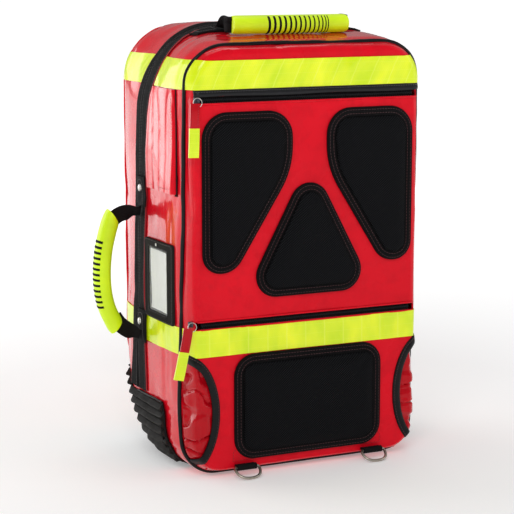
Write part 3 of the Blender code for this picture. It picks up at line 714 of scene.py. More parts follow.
RED = (0.80, 0.005, 0.018)
LOOKS = {
    "red_tarpaulin": tarpaulin("red_coated_fabric", RED),
    # A darker copy of the red fabric: painted shade for the gussets deep in the hip slots; the zip pull
    # tabs use it too.
    "crumpled_red_shade_darkened": tarpaulin("red_coated_fabric_gusset_shade_darkened", (0.56, 0.0025, 0.010), 0.16, 0.22, 1.8),
    "neon_reflective": reflective_tape(),
    "black_mesh": spacer_mesh(),
    "black_binding": binding("black_piping_film", (0.0055, 0.0055, 0.006)),
    "flap_film": binding("black_flap_film", (0.014, 0.014, 0.016), 0.26),
    "pad_rim": webbing("black_pad_rim_fabric", (0.0055, 0.0050, 0.0055), 0.0011, 1.8),
    "black_webbing": webbing("black_webbing", (0.0065, 0.0062, 0.0065)),
    "zip_band": webbing("black_zip_band", (0.0045, 0.0042, 0.0045), 0.0012, 1.7),
    "zip_coil": rubber("black_zip_coil", (0.007, 0.007, 0.009), 0.34, 900.0, Specular_IOR_Level=0.2),
    "boot_rubber": rubber(
        "boot_rubber", (0.013, 0.0115, 0.0105), 0.68, 420.0, 2.6, Specular_IOR_Level=0.16
    ),
    "window_frame": webbing("window_frame_fabric", (0.022, 0.020, 0.018), 0.0010, 1.4),
    "card_paper": card_paper(),
    "clear_film": clear_film(),
    "neon_grip": rubber(
        "neon_grip_rubber",
        (0.66, 0.90, 0.008),
        0.42,
        260.0,
        1.15,
        Specular_IOR_Level=0.4,
        # Painted glow: the emission makes the grip shine a little light of its own, though it is no lamp.
        Emission_Color=(0.62, 1.0, 0.0, 1),
        Emission_Strength=0.12,
    ),
    "grip_inlay": rubber("grip_inlay_rubber", (0.006, 0.006, 0.006), 0.6, 500.0, Specular_IOR_Level=0.12),
    "nickel_steel": metal("nickel_steel", (0.47, 0.42, 0.36), 0.24),
    "dark_metal": metal("dark_slider_metal", (0.10, 0.11, 0.135), 0.30),
    "bright_metal": metal("rivet_metal", (0.80, 0.78, 0.74), 0.28),
    "stiffener_plastic": rubber("stiffener_plastic", (0.42, 0.42, 0.43), 0.5, 300.0, 1.1),
    "red_thread": thread("dark_red_thread", (0.085, 0.026, 0.030)),
    "grey_thread": thread("grey_thread", (0.11, 0.10, 0.10)),
    "bright_thread": thread("red_seam_thread", (0.42, 0.010, 0.020)),
}


# ---------------------------------------------------------------- shells


RING_DEPTHS = np.linspace(-0.1120, 0.1160, 115)


def ring(y, inset=0.0, at=None):
    """The bag's section at depth y as a closed ring of points, placed at depth `at`."""
    half, bottom, top, upper, lower = (float(v) for v in section(y))
    half, bottom, top = half - inset, bottom + inset, top - inset
    arcs = []
    for x, z, radius, start in (
        (half, top, upper, 0),
        (-half, top, upper, 90),
        (-half, bottom, lower, 180),
        (half, bottom, lower, 270),
    ):
        radius = max(radius - inset, 0.004)
        middle = (x - math.copysign(radius, x), z - radius if start < 180 else z + radius)
        angle = np.radians(start + 90 * np.arange(ARC + 1) / ARC)
        arcs.append(np.stack([np.cos(angle), np.sin(angle)], 1) * radius + middle)
    line = []
    for k, arc in enumerate(arcs):
        ahead = arcs[(k + 1) % 4][0]
        count = TALL if k % 2 else WIDE
        share = np.arange(1, count)[:, None] / count
        line += [arc, arc[-1] + (ahead - arc[-1]) * share]
    return in_depth(np.concatenate(line), y if at is None else at)


def bent_ring(line, inset=0.0):
    """The bag's section along a line whose depth changes with height."""
    table = np.stack([ring(y, inset) for y in RING_DEPTHS])
    heights = table[len(RING_DEPTHS) // 2, :, 2]
    depth = np.clip(line(heights), RING_DEPTHS[0], RING_DEPTHS[-1])
    place = (depth - RING_DEPTHS[0]) / (RING_DEPTHS[1] - RING_DEPTHS[0])
    low = np.minimum(place.astype(int), len(RING_DEPTHS) - 2)
    share = (place - low)[:, None]
    column = np.arange(len(heights))
    return table[low, column] * (1 - share) + table[low + 1, column] * share


def between(first, last, count, inset=0.0):
    """Rings spread evenly from one line to another."""
    shares = np.linspace(0, 1, count)
    return [bent_ring(lambda z, s=s: first(z) * (1 - s) + last(z) * s, inset) for s in shares]


def level(y):
    return lambda z: np.full_like(z, y)


def depths_between(low, high, step):
    stations = list(np.linspace(low, high, int(round((high - low) / step)) + 1))
    stations += [y for y in DEPTHS if low < y < high]
    return np.array(sorted(set(np.round(stations, 6))))


def skin(rings):
    """Rings moved out and in by the fabric's wrinkles."""
    grid = np.stack(rings)
    return grid + normals_of(grid, True) * surface_move(grid)[..., None]


def beside_seam(side):
    """The main seam's edge on the bag's half (-1) or on the lid's half (1)."""
    return lambda z: seam_line(z) + side * SEAM_GAP


def beside_pipe(away):
    return lambda z: pipe_line(z) + away


def build_back_wall():
    outer = skin(between(beside_pipe(SEAM_GAP), beside_seam(-1), 27))
    inner = between(beside_seam(-1), beside_pipe(0.005), 20, WALL)
    obj = lofted("bag_back_wall", np.concatenate([outer, np.stack(inner)]), "red_tarpaulin")
    finish_piece(obj, "bag", ["back_shell"])


def end_rings(y, insets):
    return [ring(y, inset) for inset in insets]


def build_lid_wall():
    front = between(beside_seam(1), level(0.1120), 13)
    depths = depths_between(0.1140, 0.1250, 0.004)
    outer = skin(front + [ring(y) for y in depths] + end_rings(0.1250, np.arange(0.004, 0.157, 0.008)))
    inner = between(beside_seam(1), level(0.1140), 12, WALL)
    inner.append(ring(0.1200, 0.0045, at=0.1190))
    rings = np.concatenate([outer[::-1], np.stack(inner)])
    obj = lofted("bag_lid_wall", rings, "red_tarpaulin")
    finish_piece(obj, "lid", ["lid_shell"])


def cover_grid():
    depths = depths_between(FRONT, -0.1075, 0.0015)[::-1]
    insets = np.concatenate([(0.003, 0.008), np.arange(0.014, 0.159, 0.0065)])
    edge = between(beside_pipe(-SEAM_GAP), level(-0.1078), 8)
    return skin(edge + [ring(y) for y in depths] + end_rings(FRONT, insets))


# The hip slots: the middle of their ellipse and its half sizes.
HIP_X, HIP_Z = 0.185, 0.092
HIP_WIDE, HIP_TALL = 0.0410, 0.0740


def slice_at(bm, origin, normal, **clear):
    geometry = bm.verts[:] + bm.edges[:] + bm.faces[:]
    bmesh.ops.bisect_plane(bm, geom=geometry, plane_co=origin, plane_no=normal, **clear)


def open_hips(bm):
    """Cuts the panel into small squares beside the pad and leaves the two hip slots open."""
    for step in range(13):
        for side in (-1, 1):
            slice_at(bm, (side * (0.130 + 0.0035 * step), 0, 0), (1, 0, 0))
    for step in range(48):
        slice_at(bm, (0, 0, 0.0105 + 0.0035 * step), (0, 0, 1))
    gone = []
    for face in bm.faces:
        here = face.calc_center_median()
        across = (abs(here.x) - HIP_X) / (HIP_WIDE + 0.0035)
        along = (here.z - HIP_Z) / (HIP_TALL + 0.0035)
        if across * across + along * along < 1 and here.y < pipe_line(here.z) - 0.004:
            gone.append(face)
    bmesh.ops.delete(bm, geom=gone, context="FACES")


def cover_panel(name, grid, low, high, slots, node):
    """One panel of the harness cover, with its share of the zip slots left open."""
    rows, count = grid.shape[:2]
    faces = strips(rows, count, True) + [list(range((rows - 1) * count, rows * count))]
    obj = add_mesh(name, grid.reshape(-1, 3), faces, "red_tarpaulin")
    bm = bmesh.new()
    bm.from_mesh(obj.data)
    slice_at(bm, (0, 0, low), (0, 0, 1), clear_inner=True)
    slice_at(bm, (0, 0, high), (0, 0, 1), clear_outer=True)
    for z in slots:
        for edge in (z - SLOT_HALF, z + SLOT_HALF):
            slice_at(bm, (0, 0, edge), (0, 0, 1))
        for edge in (-ZIP_REACH, ZIP_REACH):
            slice_at(bm, (edge, 0, 0), (1, 0, 0))
        gone = []
        for face in bm.faces:
            here = face.calc_center_median()
            if abs(here.z - z) < SLOT_HALF and abs(here.x) < ZIP_REACH and here.y < -0.1085:
                gone.append(face)
        bmesh.ops.delete(bm, geom=gone, context="FACES")
    if node == "lumbar_panel":
        open_hips(bm)
    bmesh.ops.recalc_face_normals(bm, faces=bm.faces[:])
    bm.faces.ensure_lookup_table()
    outward = sum(f.normal.dot(f.calc_center_median() - Vector(MIDDLE)) for f in bm.faces)
    if outward < 0:
        bmesh.ops.reverse_faces(bm, faces=bm.faces[:])
    bm.to_mesh(obj.data)
    bm.free()
    wall = obj.modifiers.new("wall", "SOLIDIFY")
    wall.thickness = 0.0022
    wall.offset = -1
    settle(obj)
    return obj, node


def hip_outline(side, grow, limit, steps):
    """The bound opening beside the lumbar panel: an ellipse cut off along the bag's side."""
    wide, tall = HIP_WIDE + grow, HIP_TALL + grow
    reach = math.acos((limit - HIP_X) / wide)
    angle = np.linspace(reach, 2 * math.pi - reach, steps + 1)
    return np.stack([side * (HIP_X + wide * np.cos(angle)), HIP_Z + tall * np.sin(angle)], 1)


def build_cover():
    grid = cover_grid()
    panels = [
        cover_panel("cover_top", grid, UPPER_ZIP_Z, 0.7, [UPPER_ZIP_Z], "top_panel"),
        cover_panel(
            "cover_harness", grid, LOWER_ZIP_Z, UPPER_ZIP_Z, [UPPER_ZIP_Z, LOWER_ZIP_Z], "harness_panel"
        ),
        cover_panel("cover_lumbar", grid, -0.1, LOWER_ZIP_Z, [LOWER_ZIP_Z], "lumbar_panel"),
    ]
    for obj, node in panels:
        finish_piece(obj, "bag", [node], 35)
    for name, z in (("upper_zip", UPPER_ZIP_Z), ("lower_zip", LOWER_ZIP_Z)):
        for edge in (-1, 1):
            word = "below" if edge < 0 else "above"
            x = np.linspace(-0.166, 0.166, 60)
            y = [front_at(v, z) - 0.0002 + 0.0005 * math.sin(v * 61 + z * 40) * 0.4 for v in x]
            path = np.stack([x, y, np.full(60, z + edge * (SLOT_HALF + 0.0002))], 1)
            hem = swept(f"{name}_hem_{word}", path, (0, 0, 1), circle(0.0009, 10, 1.5), "red_tarpaulin")
            finish_piece(hem, "bag", sharp=60)


def slot_path(z, count):
    """Points from the slot's inner edge over the corner to the piping, at height z."""
    depths = np.concatenate([[FRONT], np.linspace(-0.1145, float(pipe_line(z)) - 0.0005, 14)])
    corner = np.stack([width_at(depths, z), depths], 1)
    return spread(np.concatenate([[(0.1320, FRONT)], corner]), count)


def spread(line, count):
    """The same line with this many points, spaced evenly."""
    run = run_along(line)
    at = np.linspace(0, run[-1], count)
    return np.stack([np.interp(at, run, line[:, k]) for k in range(line.shape[1])], 1)


def build_gussets():
    """The crumpled fabric seen inside each hip slot, in a darker copy of the red that paints the shade deep
    in the slot.
    """
    for side, word in ((-1, "left"), (1, "right")):
        heights = np.linspace(0.0150, 0.1700, 120)
        flat = np.stack([slot_path(z, 64) for z in heights])
        u = np.broadcast_to(np.linspace(0, 1, 64), flat.shape[:2])
        v = np.broadcast_to(np.linspace(0, 1, 120)[:, None], flat.shape[:2])
        here = np.stack([side * flat[..., 0], flat[..., 1], np.broadcast_to(heights[:, None], u.shape)], 2)
        normal = normals_of(here)
        mask = ramp(u, 0.02, 0.20) * ramp(1 - u, 0.0, 0.12) * ramp(np.minimum(v, 1 - v), 0.0, 0.1)
        seed = 20 + side
        bend = noise(here / 0.03, seed)[..., None] * 0.5
        folds = crease(here / (0.060, 0.060, 0.016) + bend, seed + 3, 2.2)
        waves = noise(here / (0.022, 0.022, 0.034), seed + 1) + 0.5 * noise(here / 0.012, seed + 2)
        rise = -0.0036 + 0.0030 * ramp(u, 0.1, 0.5) + mask * (0.0010 + 0.0022 * waves - 0.0040 * folds)
        grid = here + normal * np.minimum(rise, 0.0012)[..., None]
        obj = sheet_solid(f"hip_gusset_{word}", grid, -0.0006, 0.0, "crumpled_red_shade_darkened", normal=normal)
        finish_piece(obj, "bag", [f"hip_slot_gusset_{word}"], 60)


def on_corner(x, z, lift):
    """A point this far off the harness cover, also where the cover turns round to the side."""
    x = math.copysign(min(abs(x), float(width_at(pipe_line(z), z)) - 0.0005), x)
    turn = 1.35 * float(ramp(abs(x), 0.158, 0.174))
    return (x + math.copysign(lift * math.sin(turn), x), front_at(x, z) - lift * math.cos(turn), z)


def build_hip_bindings():
    """Folded tape round each hip slot, with a row of stitches near its outer edge."""
    profile = ((-0.0012, -0.0006), (-0.0014, 0.0012), (0.0, 0.0022), (0.0026, 0.0026), (0.0055, 0.0022))
    profile += ((0.0070, 0.0014), (0.0080, 0.0017), (0.0092, 0.0014), (0.0100, 0.0004))
    for side, word in ((-1, "left"), (1, "right")):
        rows, base = [], []
        for grow, rise in profile:
            outline = hip_outline(side, grow, 0.1768, 110)
            rows.append([on_corner(x, z, 0.0004 + rise) for x, z in outline])
            base.append([on_corner(x, z, -0.0003) for x, z in outline])
        grid, base = np.array(rows), np.array(base)
        rings = np.concatenate([grid, base[::-1]]).transpose(1, 0, 2)
        obj = lofted(f"hip_binding_{word}", rings, "black_binding")
        finish_piece(obj, "bag", [f"hip_slot_binding_{word}"], 55)
        row = [on_corner(x, z, 0.0021) for x, z in hip_outline(side, 0.0075, 0.1740, 90)]
        stitches(f"hip_binding_stitches_{word}", row, "bag", "red_thread")


# ---------------------------------------------------------------- pads


def voxel_mesh(obj, size, material):
    """Gives the piece even small faces, for the simulation."""
    remesh = obj.modifiers.new("cloth_mesh", "REMESH")
    remesh.mode = "VOXEL"
    remesh.voxel_size = size
    settle(obj)
    obj.data.materials.clear()
    obj.data.materials.append(LOOKS[material])
    return obj


def subdivide(obj):
    fine = obj.modifiers.new("fine", "SUBSURF")
    fine.levels = fine.render_levels = 1
    return settle(obj)


def crown_start(name, outline, depth, material):
    """The slightly slack body that the simulation fills."""
    rings = [in_depth(outline, PAD_BACK - 0.0001), in_depth(outline, PAD_BACK - depth)]
    obj = lofted(name, rings, material)
    face_out(obj)
    return voxel_mesh(obj, 0.0034, material)


def swell(pieces, pressure, cap, hold):
    """Fills the pieces with Blender's cloth pressure, each point moving at most `cap`."""
    scene = bpy.context.scene
    starts = {}
    for obj in pieces:
        points = vertices_of(obj)
        starts[obj.name] = points
        group = obj.vertex_groups.new(name="sewn")
        group.add([int(i) for i in np.nonzero(hold(points))[0]], 1.0, "REPLACE")
        cloth = obj.modifiers.new("swell", "CLOTH")
        cloth.settings.quality = 6
        cloth.settings.mass = 0.25
        cloth.settings.tension_stiffness = 12
        cloth.settings.compression_stiffness = 12
        cloth.settings.bending_stiffness = 2.0
        cloth.settings.use_pressure = True
        cloth.settings.uniform_pressure_force = pressure
        cloth.settings.vertex_group_mass = "sewn"
        cloth.settings.effector_weights.gravity = 0.0
        cloth.collision_settings.use_collision = False
    for step in range(1, 21):
        scene.frame_set(step)
    graph = bpy.context.evaluated_depsgraph_get()
    for obj in pieces:
        mesh = obj.evaluated_get(graph).to_mesh()
        moved = np.array([v.co for v in mesh.vertices]) - starts[obj.name]
        size = np.maximum(np.linalg.norm(moved, axis=1, keepdims=True), 1e-9)
        moved = moved * np.minimum(1.0, cap / size)
        obj.modifiers.clear()
        obj.vertex_groups.clear()
        obj.data.vertices.foreach_set("co", (starts[obj.name] + moved).ravel())
        obj.data.update()
    scene.frame_set(1)


PAD_RIM = (
    (0.0, 0.0), (0.0002, 0.0022), (0.0014, 0.0038), (0.0030, 0.0040), (0.0036, 0.0034), (0.0042, 0.0041)
)
PAD_RIM += ((0.0062, 0.0044), (0.0082, 0.0040), (0.0088, 0.0033), (0.0094, 0.0038), (0.0112, 0.0034))
PAD_RIM += ((0.0126, 0.0030), (0.0162, 0.0016), (0.0170, 0.0))
STITCH_INSETS = ((0.0036, 0.0038), (0.0088, 0.0037))


def build_pads():
    crowns = []
    shapes = {}
    for side, word in ((-1, "left"), (1, "right")):
        corners = [(0.159, 0.500), (0.026, 0.500), (0.026, 0.420), (0.112, 0.284), (0.159, 0.284)]
        corners = [(side * x, z) for x, z in corners]
        shapes[f"shoulder_pad_{word}"] = rounded(corners, [0.036, 0.036, 0.110, 0.034, 0.027])
    shapes["spine_pad"] = rounded([(0.0, 0.434), (0.100, 0.246), (-0.100, 0.246)], [0.030] * 3)
    corners = [(-0.113, 0.0225), (0.113, 0.0225), (0.113, 0.1700), (-0.113, 0.1700)]
    shapes["lumbar_pad"] = rounded(corners, [0.030] * 4)
    for name, outline in shapes.items():
        outline = resample(outline, 0.003, True)
        rim = [in_depth(inset_outline(outline, d), PAD_BACK + 0.0002 - h) for d, h in PAD_RIM]
        rings = np.stack(rim).transpose(1, 0, 2)
        obj = lofted(f"{name}_rim", rings, "pad_rim", closed=True)
        finish_piece(obj, "bag", sharp=75)
        for k, (inset, height) in enumerate(STITCH_INSETS):
            row = in_depth(inset_outline(outline, inset), PAD_BACK - height)
            stitches(f"{name}_stitches_{k}", row, "bag", "red_thread", closed=True)
        inside = inset_outline(outline, 0.0114)
        crowns.append(crown_start(f"{name}_crown", inside, 0.0066, "black_mesh"))
    swell(crowns, 4.0, 0.0045, lambda p: p[:, 1] > PAD_BACK - 0.0016)
    for obj, name in zip(crowns, shapes):
        points = vertices_of(obj)
        points[:, 1] = np.maximum(points[:, 1], -0.1262)
        smooth = obj.modifiers.new("smooth", "SMOOTH")
        smooth.factor = 0.5
        smooth.iterations = 4
        set_vertices(obj, points)
        subdivide(obj)
        finish_piece(obj, "bag", [name], 80)


# ---------------------------------------------------------------- bands, tapes and boots


def back_tape_edge(z):
    heights = (0.12, 0.26, 0.44, 0.49, 0.515, 0.532, 0.55, 0.565, 0.585, 0.60)
    return np.interp(
        z, heights, (0.0255, 0.028, 0.014, 0.007, -0.001, -0.0105, -0.016, -0.016, -0.006, 0.0075)
    )


def lid_tape_edge(z):
    heights = (0.105, 0.15, 0.25, 0.43, 0.50, 0.54, 0.57, 0.59, 0.606)
    return np.interp(z, heights, (0.086, 0.073, 0.068, 0.052, 0.045, 0.040, 0.038, 0.047, 0.052))


def band_row(z, side_depths, end_y):
    """One level of a band: down one side, across the end face and back up the other side."""
    widths = width_at(side_depths, z)
    left = np.stack([-widths, side_depths, np.full_like(widths, z)], 1)
    across = np.linspace(-widths[-1], widths[-1], 62)[1:-1]
    middle = at_level(across, end_y, z)
    right = left[::-1] * (-1, 1, 1)
    return np.concatenate([left, middle, right])


def build_bands():
    for word, span in (("upper", UPPER_BAND), ("lower", LOWER_BAND)):
        heights = np.linspace(*span, 9)
        rows = []
        for z in heights:
            start = float(back_tape_edge(z)) - 0.001
            shares = np.concatenate([np.linspace(start, -0.1070, 24), np.linspace(-0.1085, FRONT, 7)])
            rows.append(band_row(z, shares, FRONT))
        grid = np.stack(rows)
        wave = 0.00035 * noise(grid / (0.020, 1.0, 0.030), 31) * ramp(-grid[..., 1], 0.112, 0.1155)
        obj = hull_sheet(f"{word}_band_bag", grid, 0.0005, 0.0014 + wave, "neon_reflective")
        finish_piece(obj, "bag", [f"{word}_band_back"], 60)
        rows = []
        for z in heights:
            start = float(lid_tape_edge(z)) + 0.001
            shares = np.concatenate([np.linspace(start, 0.1150, 8), np.linspace(0.1175, 0.1250, 5)])
            rows.append(band_row(z, shares, 0.1250))
        obj = hull_sheet(f"{word}_band_of_lid", np.stack(rows), 0.0005, 0.0014, "neon_reflective")
        finish_piece(obj, "lid", [f"{word}_band_lid"], 60)


ARCH_STEP = 0.008


def arch(y, low):
    """An even line up one side of the section at depth y, over the top and down the other side."""
    half, _, top, radius, _ = (float(v) for v in section(y))
    counts = (int((top - radius - low) / ARCH_STEP), 24, int((half - radius) / ARCH_STEP))
    z = np.linspace(low, top - radius, counts[0] + 1)
    side = np.stack([-width_at(y, z), z], 1)
    angle = np.linspace(0, math.pi / 2, counts[1] + 1)[1:]
    bend = np.stack([-(half - radius) - radius * np.cos(angle), top - radius + radius * np.sin(angle)], 1)
    x = np.linspace(-(half - radius), 0, counts[2] + 1)[1:]
    flat = np.stack([x, np.full_like(x, top)], 1)
    left = np.concatenate([side, bend, flat])
    return in_depth(np.concatenate([left, (left * (-1, 1))[-2::-1]]), y)


def tape_grid(edge, side, low):
    """The zip's band from its sewn edge to the seam, carried up, over and down the bag."""
    base = resample(arch(0.030, low), 0.006)
    shares = np.linspace(0, 1, 9)
    columns = []
    for share in shares:
        lengths = np.linspace(0, 1, len(base))
        heights = base[:, 2]
        depths = edge(heights) + (seam_line(heights) + side * SEAM_GAP - edge(heights)) * share
        column = []
        for k, y in enumerate(depths):
            line = arch(float(y), low)
            run = run_along(line)
            column.append([np.interp(lengths[k] * run[-1], run, line[:, a]) for a in range(3)])
        columns.append(column)
    return np.array(columns).transpose(1, 0, 2)


def build_main_zip():
    for word, edge, side, body, node in (
        ("bag", back_tape_edge, -1, "bag", "main_zip_back"),
        ("lid", lid_tape_edge, 1, "lid", "main_zip_lid"),
    ):
        grid = tape_grid(edge, side, 0.0950)
        shares = np.linspace(0, 1, 9)
        crown = 0.0024 + 0.0005 * np.sin(np.pi * shares) + 0.0007 * (shares > 0.93)
        obj = hull_sheet(f"main_zip_band_{word}", grid, 0.0008, crown[None], "zip_band")
        clip_at_seam(obj, side)
        finish_piece(obj, body, [node], 60)
        normal = normals_of(grid)
        skin_grid = grid + normal * (surface_move(grid)[..., None] + 0.0027)
        rows = [("edge", 0.10), ("inner", 0.86)]
        for label, share in rows:
            column = share * 8
            a = int(column)
            line = skin_grid[:, a] + (skin_grid[:, a + 1] - skin_grid[:, a]) * (column - a)
            stitches(f"main_zip_{word}_stitches_{label}", line, body, "grey_thread", 0.0026, 0.0016, 0.0003)
        line = skin_grid[:, 0] - normal[:, 0] * 0.0012
        seam_cord = tube(f"main_zip_{word}_seam", line, normal[:, 0], 0.0010, "bright_thread")
        finish_piece(seam_cord, body, sharp=60)


def tube(name, path, normals, radius, material, count=8, closed=False):
    """A round cord along any line, with its section set square to the line by the given normals."""
    ahead = tangents(path, closed)
    across = np.cross(ahead, normals)
    across /= np.linalg.norm(across, axis=1, keepdims=True)
    up = np.cross(across, ahead)
    shape = circle(1.0, count)
    radius = np.broadcast_to(radius, len(path))[:, None, None]
    rings = path[:, None] + radius * (across[:, None] * shape[:, :1] + up[:, None] * shape[:, 1:])
    return lofted(name, rings, material, closed)


def clip_at_seam(obj, side):
    """Keeps a piece on its own side of the closed seam: -1 for the bag, 1 for the lid."""
    points = vertices_of(obj)
    limit = np.minimum if side < 0 else np.maximum
    points[:, 1] = limit(points[:, 1], seam_line(points[:, 2]) + side * SEAM_GAP)
    set_vertices(obj, points)


RIB_PITCH = 0.0112


def boot_grid(depths, tops):
    """Columns down one side, under the bottom and up the other side, up to the boot's top edge."""
    columns = []
    for y in depths:
        top = float(np.interp(y, *tops))
        half, bottom, _, _, lower = (float(v) for v in section(y))
        angle = np.linspace(0, math.pi / 2, 22)
        arc = np.stack([half - lower + lower * np.sin(angle), bottom + lower - lower * np.cos(angle)], 1)
        line = np.concatenate([[(0.0, bottom)], arc, [(half, bottom + lower + 0.16)]])
        run = run_along(line)
        end = float(np.interp(top, line[1:, 1], run[1:]))
        way = np.concatenate([np.linspace(0, half - lower, 16)[:-1], np.linspace(half - lower, end, 130)])
        x, z = (np.interp(way, run, line[:, k]) for k in (0, 1))
        column = np.stack([x, np.full_like(x, y), z], 1)
        columns.append(np.concatenate([column[::-1], (column * (-1, 1, 1))[1:]]))
    return np.stack(columns)


def build_boots():
    back_tops = (
        (-0.0520, -0.0500, -0.0475, -0.0440, -0.0390, -0.0375, -0.0300, 0.0240, 0.06),
        (0.0120, 0.0200, 0.0400, 0.0470, 0.0600, 0.0740, 0.0920, 0.0910, 0.0900),
    )
    lid_tops = (
        (0.05, 0.0820, 0.0920, 0.1000, 0.1120, 0.1240), (0.0900, 0.0900, 0.1000, 0.1100, 0.1150, 0.1170)
    )
    back_depths = np.concatenate(
        [np.arange(-0.0520, -0.0290, 0.0010), depths_between(-0.0280, 0.0553, 0.003)]
    )
    lid_depths = depths_between(0.0559, 0.1225, 0.0015)
    for name, depths, tops, body, node in (
        ("boot_bag", back_depths, back_tops, "bag", "base_boot_back"),
        ("boot_lid", lid_depths, lid_tops, "lid", "base_boot_lid"),
    ):
        grid = boot_grid(depths, tops)
        phase = ((grid[..., 2] - 0.0905) / RIB_PITCH) % 1.0
        tooth = np.clip(np.minimum(phase / 0.22, (1 - phase) / 0.62), 0, 1)
        notch = np.clip((phase - 0.86) / 0.05, 0, 1) * np.clip((1 - phase) / 0.05, 0, 1)
        under = ramp(grid[..., 2], 0.006, 0.015)
        ends = ramp(depths - depths[0], 0.002, 0.006) if body == "bag" else np.ones(len(depths))
        rib = 0.0022 + (0.0056 * tooth - 0.0008 * notch) * under * ends[:, None]
        normal = normals_of(grid)
        moved = grid + normal * surface_move(grid)[..., None] * 0.5
        obj = sheet_solid(name, moved, 0.0010, rib, "boot_rubber", normal=normal)
        keep_above(obj, 0.0002)
        clip_at_seam(obj, -1 if body == "bag" else 1)
        finish_piece(obj, body, [node], 28)
        if body == "bag":
            for column, word in ((0, "right"), (-1, "left")):
                line, out = moved[:, column], normal[:, column]
                cord = tube(f"boot_trim_{word}", line + out * 0.0020, out, 0.0017, "black_binding")
                finish_piece(cord, body, sharp=60)


def build_hinge_strip():
    """The flexing strip that joins the two halves under the bag."""
    depths = np.linspace(0.0400, 0.0720, 17)
    x = np.linspace(-0.125, 0.125, 40)
    bottom = np.interp(depths, DEPTHS, SECTIONS[:, 2])
    grid = np.stack([at_level(x, y, b) for y, b in zip(depths, bottom)])
    normal = normals_of(grid)
    obj = sheet_solid("hinge_strip", grid, 0.0032, 0.0044, "black_webbing", normal=normal)
    face_out(obj)
    obj.data.shade_smooth()
    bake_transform(obj)


def corner_line(half, bottom, top, upper, lower):
    """A closed XZ loop with round corners."""
    line = []
    for x, z, r, start in (
        (half, top, upper, 0),
        (-half, top, upper, 90),
        (-half, bottom, lower, 180),
        (half, bottom, lower, 270),
    ):
        middle = (x - math.copysign(r, x), z - r if start < 180 else z + r)
        angle = np.radians(start + 90 * np.arange(ARC + 1) / ARC)
        line += [(middle[0] + r * math.cos(a), 0.0, middle[1] + r * math.sin(a)) for a in angle]
    return resample(line, 0.0045, True)


def build_piping():
    front = bent_ring(pipe_line)
    front = resample(front, 0.0045, True)
    lid = corner_line(0.1756, 0.1050, 0.6035, 0.074, 0.050)
    lid[:, 1] = 0.1208
    for name, line, radius, node, body, look, slot in (
        ("front_piping_cord", front, 0.0029, "front_piping", "bag", "black_binding", "black_binding"),
        ("lid_piping_cord", lid, 0.0017, "lid_piping", "lid", "red_tarpaulin", "red_tarpaulin"),
    ):
        out = line * (1, 0, 1) - (0, 0, 0.3)
        out /= np.linalg.norm(out, axis=1, keepdims=True)
        wander = 0.0009 * noise(line / 0.045, 41) + 0.0005 * noise(line / 0.018, 42)
        line = line + out * (np.minimum(wander, 0.0006) * ramp(line[:, 2], 0.01, 0.05) + 0.0009)[:, None]
        line[:, 1] += 0.0008 * noise(line / 0.060, 43)
        thick = radius * (1 + 0.05 * noise(line / 0.02, 44))
        cord = tube(name, line, facing(line, (0.0, 1.0, 0.0)), thick, look, 14, True)
        keep_above(cord, 0.0003)
        finish_piece(cord, body, [node], 60)


# ---------------------------------------------------------------- panel zips


def build_zips():
    for name, z in (("upper_zip", UPPER_ZIP_Z), ("lower_zip", LOWER_ZIP_Z)):
        x = np.linspace(-0.160, 0.160, 81)
        heights = np.linspace(z - 0.0125, z + 0.0125, 9)
        grid = np.stack([at_level(x, -0.1102, h) for h in heights])
        bow = 0.0008 * np.cos((heights - z) / 0.0125 * math.pi / 2)[:, None]
        front = facing(grid, (0.0, -1.0, 0.0))
        obj = sheet_solid(f"{name}_tape", grid, -0.0002, 0.0008 + bow, "zip_band", normal=front)
        finish_piece(obj, "bag", [name], 60)
        pitch = 0.00145
        x = np.arange(-0.159, 0.159, pitch)
        flip = np.where(np.arange(len(x)) % 2 == 0, 1.0, -1.0)
        starts = np.stack([x, np.full_like(x, -0.1126), z + flip * 0.0026], 1)
        ends = np.stack([x + 0.0003, np.full_like(x, -0.1134), z - flip * 0.0009], 1)
        teeth = rods(f"{name}_teeth", starts, ends, 0.00058, "zip_coil", 6, 0.8)
        finish_piece(teeth, "bag", sharp=60)
        for row in (-0.0045, 0.0045):
            line = at_level(x, -0.1118, z + row)
            word = "below" if row < 0 else "above"
            stitches(f"{name}_stitches_{word}", line, "bag", "grey_thread", *FINE_STITCH)
    low, high = UPPER_ZIP_Z + 0.0040, UPPER_BAND[0] - 0.0002
    x = np.linspace(-0.1690, 0.1690, 94)
    rows = []
    for share in np.linspace(0, 1, 10):
        z = low + (high - low) * share
        lip = 0.0012 * math.sin(math.pi * min(share * 1.4, 1.0)) + 0.0006 * (1 - share)
        droop = 0.0006 * np.sin(x * 38.0) * (1 - share)
        depth = np.array([front_at(v, z) for v in x])
        rows.append(np.stack([x, depth - 0.0008 - lip + 0.0002 * np.sin(x * 90), z + droop], 1))
    front = np.broadcast_to((0.0, -1.0, 0.0), (10, len(x), 3))
    flap = sheet_solid("upper_zip_rain_flap", np.stack(rows), -0.0006, 0.0006, "flap_film", normal=front)
    finish_piece(flap, "bag", ["upper_zip_flap"], 60)
    line = np.stack([x, [front_at(v, high) - 0.0024 for v in x], np.full_like(x, high - 0.0022)], 1)
    stitches("upper_zip_flap_stitches", line, "bag", "grey_thread", *EDGE_STITCH)


def strip_grid(x, y, top, length, wide, lean, bulge):
    """A flat tab hanging down from `top`, leaning sideways, with a soft bow."""
    along = np.linspace(0, 1, 15)
    across = np.linspace(-wide / 2, wide / 2, 7)
    c, s = math.cos(lean), math.sin(lean)
    grid = np.empty((15, 7, 3))
    for i, share in enumerate(along):
        for j, u in enumerate(across):
            run = share * length
            grid[i, j] = (
                x + u * c - run * s,
                y - bulge * math.sin(share * math.pi),
                top - run * c - u * s,
            )
    return grid


